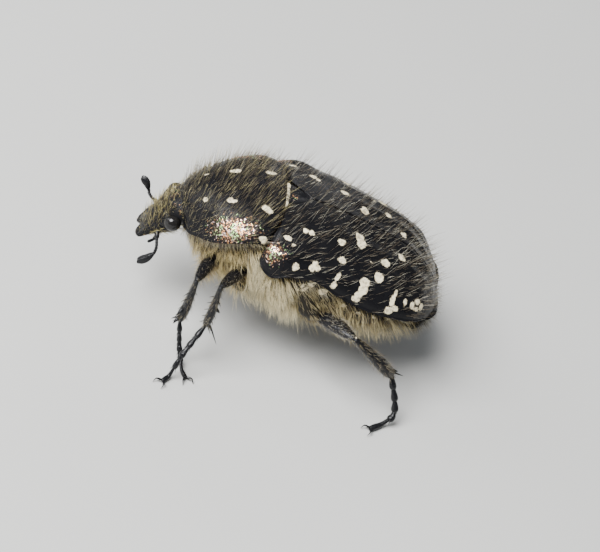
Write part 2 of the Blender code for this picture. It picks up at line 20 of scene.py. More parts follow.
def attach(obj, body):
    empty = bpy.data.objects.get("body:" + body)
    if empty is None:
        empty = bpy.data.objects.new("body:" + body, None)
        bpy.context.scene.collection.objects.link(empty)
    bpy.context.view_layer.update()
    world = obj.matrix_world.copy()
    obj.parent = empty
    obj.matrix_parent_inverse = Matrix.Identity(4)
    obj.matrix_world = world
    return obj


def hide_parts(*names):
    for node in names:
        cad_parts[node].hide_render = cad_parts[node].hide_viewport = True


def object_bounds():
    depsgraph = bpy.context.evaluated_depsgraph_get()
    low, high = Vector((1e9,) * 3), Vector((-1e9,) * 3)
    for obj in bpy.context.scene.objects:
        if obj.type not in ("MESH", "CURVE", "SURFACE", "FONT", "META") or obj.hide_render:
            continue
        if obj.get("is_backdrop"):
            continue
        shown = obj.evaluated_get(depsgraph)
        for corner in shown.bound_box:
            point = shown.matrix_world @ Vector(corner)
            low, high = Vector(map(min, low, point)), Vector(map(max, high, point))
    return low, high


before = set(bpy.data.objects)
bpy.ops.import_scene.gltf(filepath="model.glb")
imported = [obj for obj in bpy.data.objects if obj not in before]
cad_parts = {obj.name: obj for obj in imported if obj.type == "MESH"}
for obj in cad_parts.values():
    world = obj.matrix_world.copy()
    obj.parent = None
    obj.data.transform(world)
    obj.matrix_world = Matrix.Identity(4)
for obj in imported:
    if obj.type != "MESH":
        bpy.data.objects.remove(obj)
CAD_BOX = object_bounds()
LOG = logging.getLogger("beetle")

Stations = Sequence[tuple[float, float]]
Point = tuple[float, float, float]
Cell = tuple[float, float, float, float]
Field = Callable[[np.ndarray, np.ndarray], np.ndarray]

# Whole animal
MM = 0.001
HEAD_TIP_HEIGHT = 2.6
STANCE_CENTRE = 5.67
TRUNK_AXIS_HEIGHT = 1.2
RANDOM_SEED = 11
LEFTWARD = (1.0, 0.0, 0.0)
TAILWARD = (0.0, 1.0, 0.0)
UPWARD = (0.0, 0.0, 1.0)

# Surfaces: steps that read a slope, draws for each place asked for, and how far a spot reaches into the wall
SLOPE_STEP = 0.004
AREA_STEP = 0.01
PATH_STEP = 0.02
DRAWS_FOR_EACH = 6
LARGE_AREA = 0.98
SPOT_DEPTH = 0.4
NO_SPOT = -1.0
RIM_SHARE = 0.06
RIM_THICKNESS = 0.2
EVEN_WIDTH = ((0.0, 1.0), (1.0, 1.0))
SPINE_TIP = 0.008

# Coat: hairs in one piece, how deep their roots sit, and their patches on the unwrap
HAIR_LIMIT = 11500
HAIR_SINK = 0.03
HAIR_JOINTS = (-0.2, 0.15)
HAIR_THICKNESS_RANGE = (0.75, 1.2)
HAIR_ASIDE = (0.31, -0.84, 0.45)
HAIR_PATCH = 0.003
WHOLE_CELL = (0.0, 0.0, 1.0, 1.0)
CELL_FILL = 0.99


class Side(Enum):
    """Side of the beetle that a paired piece is on."""

    LEFT = 1.0
    RIGHT = -1.0

    @property
    def letter(self) -> str:
        """Letter that ends the names of this side's pieces."""
        return "L" if self is Side.LEFT else "R"

    def mirror(self, points: Sequence[Point] | Point) -> np.ndarray:
        """Put points given for the left on this side."""
        return np.array(points, float) * (self.value, 1.0, 1.0)


class Pair(Enum):
    """Pair of legs."""

    FRONT = "front"
    MID = "mid"
    HIND = "hind"


def place(points: np.ndarray) -> np.ndarray:
    """Turn the beetle's millimetres into metres on the floor."""
    return (np.asarray(points, float) - (0.0, STANCE_CENTRE, -HEAD_TIP_HEIGHT)) * MM


def unit(vectors: np.ndarray) -> np.ndarray:
    """Scale each row to length one."""
    return vectors / np.maximum(np.linalg.norm(vectors, axis=-1, keepdims=True), 1e-9)


def power(values: np.ndarray, exponent: float) -> np.ndarray:
    """Signed power, for rounded-box cross-sections."""
    return np.sign(values) * np.abs(values) ** exponent


def ramp(values: np.ndarray, low: float, high: float) -> np.ndarray:
    """Smooth step from 0 at low to 1 at high."""
    share = np.clip((values - low) / (high - low), 0.0, 1.0)
    return share * share * (3.0 - 2.0 * share)


def bump_at(values: np.ndarray, middle: float, reach: float) -> np.ndarray:
    """Round hump, 1 at its middle and fading to 0 over its reach."""
    return np.exp(-(((values - middle) / reach) ** 2))


def from_middle(across: np.ndarray) -> np.ndarray:
    """Distance from the middle line, 0 there and 1 at both edges."""
    return np.abs(across * 2.0 - 1.0)


def scaled(stations: Stations, size: float) -> Stations:
    """Multiply the values of stations by a size."""
    return [(at, value * size) for at, value in stations]


def even(share: float) -> Field:
    """Density of hair that is the same all over a surface."""
    return lambda along, across: np.full_like(along, share)


def curve(stations: Stations, at: np.ndarray) -> np.ndarray:
    """Read a smooth line through a few stations.

    Args:
        stations: Pairs of place and value, in order.
        at: Places to read.

    Returns:
        A value for each place, level beyond the ends.
    """
    places, values = np.array(stations, float).T
    steps = np.diff(values) / np.diff(places)
    slopes = np.empty(len(places))
    slopes[0], slopes[-1] = steps[0], steps[-1]
    total = steps[:-1] + steps[1:]
    same = steps[:-1] * steps[1:] > 0.0
    slopes[1:-1] = np.where(same, 2.0 * steps[:-1] * steps[1:] / np.where(same, total, 1.0), 0.0)
    at = np.clip(np.asarray(at, float), places[0], places[-1])
    index = np.clip(np.searchsorted(places, at, side="right") - 1, 0, len(steps) - 1)
    width = np.diff(places)[index]
    way = (at - places[index]) / width
    rest = 1.0 - way
    value = values[index] * rest**2 * (1.0 + 2.0 * way) + values[index + 1] * way**2 * (3.0 - 2.0 * way)
    return value + width * way * rest * (slopes[index] * rest - slopes[index + 1] * way)


# Shader sheet
class Wire:
    """Socket that takes part in sums, so that shader maths reads as an expression."""

    def __init__(self, sheet: "Sheet", socket: bpy.types.NodeSocket) -> None:
        """Wrap one output socket of a sheet."""
        self.sheet = sheet
        self.socket = socket

    def _maths(self, operation: str, first: object, second: object) -> "Wire":
        """Add a Math node for two numbers or wires."""
        node = self.sheet.node("ShaderNodeMath", {"operation": operation}, {0: first, 1: second})
        return Wire(self.sheet, node.outputs[0])

    def __add__(self, other: object) -> "Wire":
        """Sum."""
        return self._maths("ADD", self, other)

    def __sub__(self, other: object) -> "Wire":
        """Difference."""
        return self._maths("SUBTRACT", self, other)

    def __rsub__(self, other: object) -> "Wire":
        """Difference from a number."""
        return self._maths("SUBTRACT", other, self)

    def __mul__(self, other: object) -> "Wire":
        """Product."""
        return self._maths("MULTIPLY", self, other)

    __radd__ = __add__
    __rmul__ = __mul__

    def step(self, low: float, high: float, start: float = 0.0, end: float = 1.0) -> "Wire":
        """Smooth step between two values.

        Args:
            low: Value where the step starts.
            high: Value where it ends.
            start: Result at and before low.
            end: Result at and after high.

        Returns:
            The stepped wire.
        """
        settings = {"interpolation_type": "SMOOTHSTEP"}
        values = {"Value": self, "From Min": low, "From Max": high, "To Min": start, "To Max": end}
        return Wire(self.sheet, self.sheet.node("ShaderNodeMapRange", settings, values).outputs[0])


class Sheet:
    """Node sheet of one material."""

    def __init__(self, name: str) -> None:
        """Start a material with only its shader and output.

        Args:
            name: Name of the material.
        """
        self.material = bpy.data.materials.new(name)
        self.material.use_nodes = True
        self.tree = self.material.node_tree
        self.shader = self.tree.nodes["Principled BSDF"]

    def _plug(self, socket: bpy.types.NodeSocket, value: object) -> None:
        """Link a wire to a socket, or write a plain value on it.

        Args:
            socket: Input socket.
            value: Wire, output socket, number or colour.
        """
        if isinstance(value, Wire):
            self.tree.links.new(value.socket, socket)
        elif isinstance(value, bpy.types.NodeSocket):
            self.tree.links.new(value, socket)
        elif socket.type == "RGBA" and len(value) == 3:
            socket.default_value = (*value, 1.0)
        else:
            socket.default_value = value

    def node(self, kind: str, settings: dict[str, object], values: dict[object, object]) -> bpy.types.Node:
        """Add a node.

        Args:
            kind: Blender's name for the node.
            settings: Properties, which are set first.
            values: Value or link of each socket, by name or number.

        Returns:
            The new node.
        """
        node = self.tree.nodes.new(kind)
        for name, value in settings.items():
            setattr(node, name, value)
        for name, value in values.items():
            self._plug(node.inputs[name], value)
        return node

    def position(self) -> bpy.types.NodeSocket:
        """Object coordinates."""
        return self.node("ShaderNodeTexCoord", {}, {}).outputs["Object"]

    def attribute(self, name: str) -> Wire:
        """Number that the mesh carries under a name."""
        return Wire(self, self.node("ShaderNodeAttribute", {"attribute_name": name}, {}).outputs["Fac"])

    def noise(self, spacing: float, detail: float = 2.0) -> Wire:
        """Soft noise, 0 to 1, whose lumps are a spacing in millimetres apart."""
        values = {"Vector": self.position(), "Scale": 1.0 / (spacing * MM), "Detail": detail}
        return Wire(self, self.node("ShaderNodeTexNoise", {}, values).outputs[0])

    def cells(self, spacing: float) -> Wire:
        """Distance from the middle of cells that are a spacing in millimetres apart."""
        values = {"Vector": self.position(), "Scale": 1.0 / (spacing * MM)}
        return Wire(self, self.node("ShaderNodeTexVoronoi", {"feature": "F1"}, values).outputs["Distance"])

    def mix(self, share: object, first: object, second: object) -> bpy.types.NodeSocket:
        """Blend two colours by a share."""
        values = {"Factor": share, 6: first, 7: second}
        return self.node("ShaderNodeMix", {"data_type": "RGBA"}, values).outputs[2]

    def finish(
        self, values: dict[str, object], height: Wire | None = None, depth: float = 0.0
    ) -> bpy.types.Material:
        """Set the shader's sockets and its relief.

        Args:
            values: Value or link of each socket.
            height: Relief in multiples of the depth, or None for a smooth surface.
            depth: Depth in millimetres.

        Returns:
            The finished material.
        """
        for name, value in values.items():
            self._plug(self.shader.inputs[name], value)
        if height is not None:
            relief = {"Strength": 1.0, "Distance": depth * MM, "Height": height}
            self._plug(self.shader.inputs["Normal"], self.node("ShaderNodeBump", {}, relief).outputs[0])
        return self.material


# Finishes
@dataclass(frozen=True)
class CuticleFinish:
    """Black punctured cuticle with pale spots, and metal flecks in copper, green and rose that are a painted
    highlight, laid where the light glints.

    Spacings, depths and pushes are millimetres. Lumps and grains push the edge of
    a spot in and out, and chalk_edge is the depth over which the chalk sets in.
    """

    name: str
    deep: Point = (0.006, 0.006, 0.007)
    # bronze, copper, green and rose colour the painted highlight: bright metal flecks on a bronze ground, laid
    # where the light glints.
    bronze: Point = (0.03, 0.018, 0.015)
    copper: Point = (0.92, 0.45, 0.2)
    green: Point = (0.45, 0.72, 0.28)
    rose: Point = (1.0, 0.76, 0.7)
    chalk: Point = (0.88, 0.78, 0.53)
    chalk_shade: Point = (0.5, 0.42, 0.27)
    chalk_roughness: float = 0.85
    chalk_height: float = 1.6
    chalk_edge: tuple[float, float] = (-0.002, 0.03)
    lump_spacing: float = 0.16
    lump_push: float = 0.16
    grain_spacing: float = 0.045
    grain_push: float = 0.06
    mottle_spacing: float = 0.12
    roughness: float = 0.24
    shine: float = 0.12
    wear_spacing: float = 0.5
    puncture_spacing: float = 0.09
    puncture_depth: float = 0.005
    skin_spacing: float = 0.025
    fleck_spacing: float = 0.06
    fleck_metal: float = 0.85
    hue_spacing: float = 0.22
    rose_spacing: float = 0.1

    def _chalk(self, sheet: Sheet) -> Wire:
        """Share of chalk, 1 inside a ragged spot and 0 outside.

        Args:
            sheet: Sheet of the material.

        Returns:
            The share.
        """
        lumps = (sheet.noise(self.lump_spacing, 3.0) - 0.5) * self.lump_push
        grains = (sheet.noise(self.grain_spacing, 1.0) - 0.5) * self.grain_push
        return (sheet.attribute("spot") + (lumps + grains)).step(*self.chalk_edge)

    def _colour(self, sheet: Sheet, chalk: Wire, glint: Wire, flecks: Wire) -> bpy.types.NodeSocket:
        """Black, with a painted highlight of metal flecks in three hues on a bronze ground, and mottled chalk
        over it.

        Args:
            sheet: Sheet of the material.
            chalk: Share of chalk.
            glint: Strength of the painted highlight.
            flecks: Share of metal flecks of the painted highlight.

        Returns:
            The colour.
        """
        # Painted highlight: flecks of copper, green and rose on a bronze ground, laid only where the light
        # glints; elsewhere deep black.
        metal = sheet.mix(sheet.noise(self.hue_spacing, 1.0).step(0.49, 0.56), self.copper, self.green)
        metal = sheet.mix(sheet.noise(self.rose_spacing, 2.0).step(0.5, 0.6), metal, self.rose)
        ground = sheet.mix(glint.step(0.1, 0.7), self.deep, self.bronze)
        mottle = sheet.noise(self.mottle_spacing, 3.0).step(0.34, 0.54)
        pale = sheet.mix(mottle, self.chalk_shade, self.chalk)
        return sheet.mix(chalk, sheet.mix(flecks, ground, metal), pale)

    def _relief(self, sheet: Sheet, chalk: Wire, glint: Wire) -> Wire:
        """Punctures, fine grain, the crumpled metal under the painted highlight and the raised chalk.

        Args:
            sheet: Sheet of the material.
            chalk: Share of chalk.
            glint: Strength of the painted highlight.

        Returns:
            The height, in puncture depths.
        """
        dimple = sheet.cells(self.puncture_spacing).step(0.02, 0.5)
        grain = sheet.noise(self.skin_spacing, 2.0) * (chalk * 1.2 + glint * 0.6 + 0.3)
        crumple = sheet.noise(self.fleck_spacing, 1.0) * glint
        return dimple * (1.0 - chalk) + grain + crumple * 5.0 + chalk * self.chalk_height

    def material(self) -> bpy.types.Material:
        """Make the material.

        Returns:
            A material that reads the mesh's spot number and the strength of its painted highlight.
        """
        sheet = Sheet(self.name)
        chalk = self._chalk(sheet)
        gloss = 1.0 - chalk
        glint = sheet.attribute("glint")
        # Flecks of the painted highlight, densest at its middle and thinning out towards its edge.
        speckle = (sheet.noise(self.fleck_spacing, 2.0) + glint * 0.24).step(0.66, 0.72)
        flecks = speckle * glint.step(0.04, 0.2)
        worn = (self.roughness - 0.05, self.roughness + 0.1)
        wear = sheet.noise(self.wear_spacing, 3.0).step(0.3, 0.7, *worn)
        values = {
            "Base Color": self._colour(sheet, chalk, glint, flecks),
            "Roughness": wear * gloss + chalk * self.chalk_roughness,
            "Metallic": flecks * gloss * self.fleck_metal,
            "Specular IOR Level": self.shine,
        }
        return sheet.finish(values, self._relief(sheet, chalk, glint), self.puncture_depth)


@dataclass(frozen=True)
class HairFinish:
    """Pale hair, darker at its root, with a share of dark hairs and paler ones on the spots."""

    name: str
    root: Point
    tip: Point
    dark: Point = (0.09, 0.07, 0.045)
    dark_share: float = 0.45
    dark_blend: float = 0.25
    marked: Point = (0.9, 0.87, 0.76)
    marked_share: float = 0.3
    roughness: float = 0.38
    shine: float = 0.6

    def material(self) -> bpy.types.Material:
        """Make the material.

        Returns:
            A material that reads the hairs' tone, height and spot numbers.
        """
        sheet = Sheet(self.name)
        pale = sheet.mix(sheet.attribute("height").step(0.0, 0.75), self.root, self.tip)
        blend = (self.dark_share - self.dark_blend, self.dark_share + self.dark_blend)
        light = sheet.attribute("tone").step(*blend)
        marked = sheet.attribute("spot").step(0.0, 0.05, 0.0, self.marked_share)
        colour = sheet.mix(marked, sheet.mix(light, self.dark, pale), self.marked)
        values = {"Base Color": colour, "Roughness": self.roughness, "Specular IOR Level": self.shine}
        return sheet.finish(values)


@dataclass(frozen=True)
class EyeFinish:
    """Glossy black eye of fine facets."""

    name: str
    colour: Point = (0.004, 0.004, 0.005)
    seam_colour: Point = (0.01, 0.009, 0.008)
    facet: float = 0.03
    facet_depth: float = 0.0007
    roughness: float = 0.1
    shine: float = 0.36

    def material(self) -> bpy.types.Material:
        """Make the material.

        Returns:
            A glossy material with a facet relief.
        """
        sheet = Sheet(self.name)
        facets = sheet.cells(self.facet)
        shade = sheet.mix(facets.step(0.2, 0.7), self.colour, self.seam_colour)
        values = {"Base Color": shade, "Roughness": self.roughness, "Specular IOR Level": self.shine}
        return sheet.finish(values, 1.0 - facets.step(0.2, 0.6), self.facet_depth)


@dataclass(frozen=True)
class FloorFinish:
    """Plain pale floor."""

    name: str
    colour: Point = (0.47, 0.47, 0.455)
    mottle: float = 0.96
    mottle_spacing: float = 6.0
    roughness: float = 0.75

    def material(self) -> bpy.types.Material:
        """Make the material.

        Returns:
            A matt material with a very faint mottle.
        """
        sheet = Sheet(self.name)
        darker = tuple(self.mottle * part for part in self.colour)
        shade = sheet.mix(sheet.noise(self.mottle_spacing, 2.0), self.colour, darker)
        return sheet.finish({"Base Color": shade, "Roughness": self.roughness})


# Surfaces
class Surface:
    """Smooth surface over two shares that run from 0 to 1."""

    def at(self, along: np.ndarray, across: np.ndarray) -> np.ndarray:
        """Points of the surface in millimetres."""
        raise NotImplementedError

    def middle(self, points: np.ndarray) -> np.ndarray:
        """Points inside the form, which tell outward from inward."""
        return points * TAILWARD + (0.0, 0.0, TRUNK_AXIS_HEIGHT)

    def lay(self, along: np.ndarray, across: np.ndarray) -> tuple[np.ndarray, np.ndarray, np.ndarray]:
        """Read places of the surface with their directions.

        Args:
            along: First share of each place.
            across: Second share of each place.

        Returns:
            Points, outward normals and directions along, in rows.
        """
        points = self.at(along, across)
        before, after = np.clip(along - SLOPE_STEP, 0.0, 1.0), np.clip(along + SLOPE_STEP, 0.0, 1.0)
        left, right = np.clip(across - SLOPE_STEP, 0.0, 1.0), np.clip(across + SLOPE_STEP, 0.0, 1.0)
        forward = unit(self.at(after, across) - self.at(before, across))
        sideways = self.at(along, right) - self.at(along, left)
        normals = unit(np.cross(forward, sideways))
        inward = np.sum(normals * (points - self.middle(points)), axis=-1) < 0.0
        if np.mean(inward) > 0.5:
            normals = -normals
        return points, normals, forward

    def scatter(self, count: int, draw: np.random.Generator, density: Field) -> tuple[np.ndarray, np.ndarray]:
        """Draw places spread evenly over the surface's area.

        Args:
            count: Number of places.
            draw: Seeded source of chance.
            density: Share of hairs to keep at each place, 0 to 1.

        Returns:
            The two shares of each place.
        """
        along, across = draw.random((2, count * DRAWS_FOR_EACH))
        before, after = np.maximum(along - AREA_STEP, 0.0), np.minimum(along + AREA_STEP, 1.0)
        left, right = np.maximum(across - AREA_STEP, 0.0), np.minimum(across + AREA_STEP, 1.0)
        first = self.at(after, across) - self.at(before, across)
        second = self.at(along, right) - self.at(along, left)
        area = np.linalg.norm(np.cross(first, second), axis=-1)
        keep = draw.random(len(along)) < area / np.quantile(area, LARGE_AREA) * density(along, across)
        chosen = np.flatnonzero(keep)[:count]
        return along[chosen], across[chosen]


@dataclass(frozen=True)
class Spot:
    """Chalky spot: its place, and half its length and width in millimetres."""

    along: float
    across: float
    length: float
    width: float

    def reach(self, surface: Surface, points: np.ndarray) -> np.ndarray:
        """Tell how far inside the spot points are.

        Args:
            surface: Surface that carries the spot.
            points: Points in rows.

        Returns:
            Millimetres inside the spot's edge, negative outside.
        """
        centre, normal, forward = surface.lay(np.array([self.along]), np.array([self.across]))
        sideways = np.cross(normal, forward)
        away = points - centre
        shares = (
            away @ forward[0] / self.length,
            away @ sideways[0] / self.width,
            away @ normal[0] / SPOT_DEPTH,
        )
        return (1.0 - np.sqrt(sum(share**2 for share in shares))) * min(self.length, self.width)


def spotted(surface: Surface, spots: Sequence[Spot], points: np.ndarray) -> np.ndarray:
    """Depth inside the nearest of several spots.

    Args:
        surface: Surface that carries the spots.
        spots: Its spots.
        points: Points in rows.

    Returns:
        Millimetres inside the nearest spot's edge, negative outside.
    """
    depth = np.full(len(points), NO_SPOT)
    for spot in spots:
        depth = np.maximum(depth, spot.reach(surface, points))
    return depth


# Meshes
def mapped_grid(surface: Surface, rows: int, columns: int, thickness: float) -> bmesh.types.BMesh:
    """Lay a grid on a surface and give it a thickness inward.

    Args:
        surface: Surface to lie on.
        rows: Steps along.
        columns: Steps across.
        thickness: Thickness of the wall in millimetres.

    Returns:
        A closed mesh in metres that carries its two shares.
    """
    mesh = bmesh.new()
    bmesh.ops.create_grid(mesh, x_segments=columns, y_segments=rows, size=0.5)
    shares = np.array([vert.co[:2] for vert in mesh.verts]) + 0.5
    keep_shares(mesh, shares[:, 1], shares[:, 0])
    points = surface.at(shares[:, 1], shares[:, 0])
    move(mesh, points)
    _, normals, _ = surface.lay(shares[:, 1], shares[:, 0])
    edge = ramp(np.min(np.minimum(shares, 1.0 - shares), axis=1), 0.0, RIM_SHARE)
    wall_thickness = thickness * (RIM_THICKNESS + (1.0 - RIM_THICKNESS) * edge)
    inside = place(points - normals * wall_thickness[:, None])
    wall = bmesh.ops.extrude_face_region(mesh, geom=mesh.faces[:], use_keep_orig=True)
    inner = [item for item in wall["geom"] if isinstance(item, bmesh.types.BMVert)]
    for vert, point in zip(inner, inside):
        vert.co = point
    bmesh.ops.recalc_face_normals(mesh, faces=mesh.faces[:])
    return facing_out(mesh)


def mapped_ball(surface: Surface, around: int, along: int) -> bmesh.types.BMesh:
    """Lay a ball on a closed surface, from pole to pole.

    Args:
        surface: Surface whose first share runs from pole to pole.
        around: Steps round it.
        along: Steps from pole to pole.

    Returns:
        A closed mesh in metres that carries its two shares.
    """
    mesh = bmesh.new()
    bmesh.ops.create_uvsphere(mesh, u_segments=around, v_segments=along, radius=1.0)
    ball = np.array([vert.co[:] for vert in mesh.verts])
    way = np.arccos(np.clip(ball[:, 2], -1.0, 1.0)) / math.pi
    turn = (np.arctan2(ball[:, 1], ball[:, 0]) / math.tau) % 1.0
    keep_shares(mesh, way, turn)
    move(mesh, surface.at(way, turn))
    return facing_out(mesh)


def keep_shares(mesh: bmesh.types.BMesh, along: np.ndarray, across: np.ndarray) -> None:
    """Keep the two shares of each corner on a mesh.

    Args:
        mesh: Mesh to write on.
        along: First share of each corner.
        across: Second share of each corner.
    """
    for name, values in (("along", along), ("across", across)):
        layer = mesh.verts.layers.float.new(name)
        for vert, value in zip(mesh.verts, values):
            vert[layer] = float(value)


def move(mesh: bmesh.types.BMesh, points: np.ndarray) -> None:
    """Move the corners of a mesh to points in millimetres."""
    for vert, point in zip(mesh.verts, place(points)):
        vert.co = point


def facing_out(mesh: bmesh.types.BMesh) -> bmesh.types.BMesh:
    """Turn the faces of a closed mesh outward.

    Args:
        mesh: Closed mesh whose faces agree with one another.

    Returns:
        The same mesh.
    """
    if mesh.calc_volume(signed=True) < 0.0:
        bmesh.ops.reverse_faces(mesh, faces=mesh.faces[:])
    return mesh


def joined(meshes: Sequence[bmesh.types.BMesh]) -> bmesh.types.BMesh:
    """Put several meshes into one.

    Args:
        meshes: Meshes, which are used up.

    Returns:
        One mesh with all their faces.
    """
    whole = bmesh.new()
    for mesh in meshes:
        data = bpy.data.meshes.new("part")
        mesh.to_mesh(data)
        mesh.free()
        whole.from_mesh(data)
        bpy.data.meshes.remove(data)
    return whole


def number_layer(item: bpy.types.Object, name: str, values: np.ndarray) -> None:
    """Write one number for each corner of an object's mesh."""
    layer = item.data.attributes.get(name) or item.data.attributes.new(name, "FLOAT", "POINT")
    layer.data.foreach_set("value", np.asarray(values, np.float32))


def read_layer(item: bpy.types.Object, name: str) -> np.ndarray:
    """Read one number for each corner of an object's mesh.

    Args:
        item: Object to read.
        name: Name of the number.

    Returns:
        A value for each corner.
    """
    values = np.zeros(len(item.data.vertices), np.float32)
    item.data.attributes[name].data.foreach_get("value", values)
    return values.astype(float)


def corners(item: bpy.types.Object) -> np.ndarray:
    """Read the corners of an object's mesh.

    Args:
        item: Object to read.

    Returns:
        Its corners in the beetle's millimetres, in rows.
    """
    flat = np.zeros(len(item.data.vertices) * 3, np.float32)
    item.data.vertices.foreach_get("co", flat)
    return flat.reshape(-1, 3).astype(float) / MM + (0.0, STANCE_CENTRE, -HEAD_TIP_HEIGHT)


def mark(item: bpy.types.Object, spot: np.ndarray | float = NO_SPOT, glint: np.ndarray | float = 0.0) -> None:
    """Write the two numbers that the cuticle's finish reads.

    Args:
        item: Piece of cuticle.
        spot: Millimetres inside a spot's edge, negative outside.
        glint: Strength of the painted highlight of metal flecks, 0 to 1.
    """
    count = len(item.data.vertices)
    number_layer(item, "spot", np.broadcast_to(spot, count))
    # The second number says where the painted highlight of metal flecks is laid.
    number_layer(item, "glint", np.broadcast_to(glint, count))


def piece(
    name: str,
    mesh: bmesh.types.BMesh | bpy.types.Mesh,
    finish: bpy.types.Material,
    nodes: Sequence[str] = (),
) -> bpy.types.Object:
    """Make a finished piece of the object from a mesh.

    Args:
        name: Name of the piece.
        mesh: Its shape in metres.
        finish: Its material.
        nodes: Solids that it stands for.

    Returns:
        The piece, which rides on the body.
    """
    if isinstance(mesh, bmesh.types.BMesh):
        data = bpy.data.meshes.new(name)
        mesh.to_mesh(data)
        mesh.free()
    else:
        data = mesh
    data.shade_smooth()
    data.materials.append(finish)
    item = bpy.data.objects.new(name, data)
    bpy.context.scene.collection.objects.link(item)
    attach(item, "root")
    if nodes:
        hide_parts(*nodes)
    LOG.info("%s: %d faces", name, len(data.polygons))
    return item


# Coat
@dataclass(frozen=True)
class HairStyle:
    """How hairs grow, in millimetres. Without a sweep they lean along their surface.

    rise is the share of the surface's own direction in the hair's, the rest comes
    from the sweep, and bend is how much of the rise is lost towards the tip. stray
    turns single hairs, swirl turns neighbours together, and spread varies length.
    """

    length: float
    rise: float
    sweep: Point | None
    thickness: float = 0.008
    bend: float = 0.3
    stray: float = 0.14
    spread: float = 0.25
    swirl: float = 0.1


@dataclass
class Roots:
    """Places where hairs grow: points, outward normals, directions along, unwrap places and spot depths."""

    points: np.ndarray
    normals: np.ndarray
    forward: np.ndarray
    unwrap: np.ndarray
    spot: np.ndarray

    def parts(self) -> tuple[np.ndarray, ...]:
        """All the rows, in order."""
        return self.points, self.normals, self.forward, self.unwrap, self.spot

    def thinned(self, keep: np.ndarray | slice) -> "Roots":
        """Keep some of the roots."""
        return Roots(*(part[keep] for part in self.parts()))

    @staticmethod
    def together(groups: Sequence["Roots"]) -> "Roots":
        """Put several groups of roots into one."""
        return Roots(*(np.concatenate(rows) for rows in zip(*(group.parts() for group in groups))))


def roots_on(
    surface: Surface,
    count: int,
    draw: np.random.Generator,
    density: Field,
    spots: Sequence[Spot] = (),
    cell: Cell = WHOLE_CELL,
) -> Roots:
    """Find roots for hairs on a surface.

    Args:
        surface: Surface that the hairs grow from.
        count: Number of hairs at most.
        draw: Seeded source of chance.
        density: Share of hairs at each place.
        spots: Spots of the surface, which the hairs share.
        cell: Left, bottom, width and height of the surface's place in the unwrap.

    Returns:
        The roots.
    """
    along, across = surface.scatter(count, draw, density)
    points, normals, forward = surface.lay(along, across)
    left, bottom, width, height = cell
    unwrap = np.stack([left + across * width * CELL_FILL, bottom + along * height * CELL_FILL], axis=-1)
    return Roots(points, normals, forward, unwrap, spotted(surface, spots, points))


def hair_template() -> tuple[np.ndarray, np.ndarray]:
    """Make one hair as a slender three-sided cone.

    Returns:
        Its corners, with height 0 to 1, and its triangles as corner numbers.
    """
    mesh = bmesh.new()
    bmesh.ops.create_cone(mesh, cap_ends=True, segments=3, radius1=1.0, radius2=0.0, depth=1.0)
    for height in HAIR_JOINTS:
        geometry = mesh.verts[:] + mesh.edges[:] + mesh.faces[:]
        bmesh.ops.bisect_plane(mesh, geom=geometry, plane_co=(0.0, 0.0, height), plane_no=UPWARD)
    bmesh.ops.remove_doubles(mesh, verts=mesh.verts[:], dist=0.001)
    bmesh.ops.triangulate(mesh, faces=mesh.faces[:])
    points = np.array([vert.co[:] for vert in mesh.verts]) + (0.0, 0.0, 0.5)
    faces = np.array([[vert.index for vert in face.verts] for face in mesh.faces])
    mesh.free()
    return points, faces


def swirls(points: np.ndarray) -> np.ndarray:
    """Slow waves in three directions, which make neighbouring hairs lean together.

    Args:
        points: Points in rows.

    Returns:
        Directions in rows, each part between -1 and 1.
    """
    waves = points @ np.array(((7.1, 3.2, -4.4), (-2.6, 8.3, 3.9), (4.7, -3.4, 9.2)))
    return np.sin(waves + 1.7 * np.sin(waves[:, ::-1] * 0.63))


def hair_mesh(name: str, points: np.ndarray, faces: np.ndarray, places: np.ndarray) -> bpy.types.Mesh:
    """Make a mesh of triangles with its unwrap.

    Args:
        name: Name of the mesh.
        points: Corners in millimetres, in rows.
        faces: Corner numbers, three for each triangle.
        places: Place of each corner in the unwrap.

    Returns:
        The mesh in metres, which carries the map OFBake.
    """
    data = bpy.data.meshes.new(name)
    data.vertices.add(len(places))
    data.vertices.foreach_set("co", place(points).astype(np.float32).reshape(-1))
    data.loops.add(len(faces))
    data.loops.foreach_set("vertex_index", faces.astype(np.int32))
    data.polygons.add(len(faces) // 3)
    data.polygons.foreach_set("loop_start", np.arange(0, len(faces), 3, dtype=np.int32))
    data.update(calc_edges=True)
    unwrap = data.uv_layers.new(name="OFBake")
    unwrap.data.foreach_set("uv", places[faces].astype(np.float32).reshape(-1))
    return data


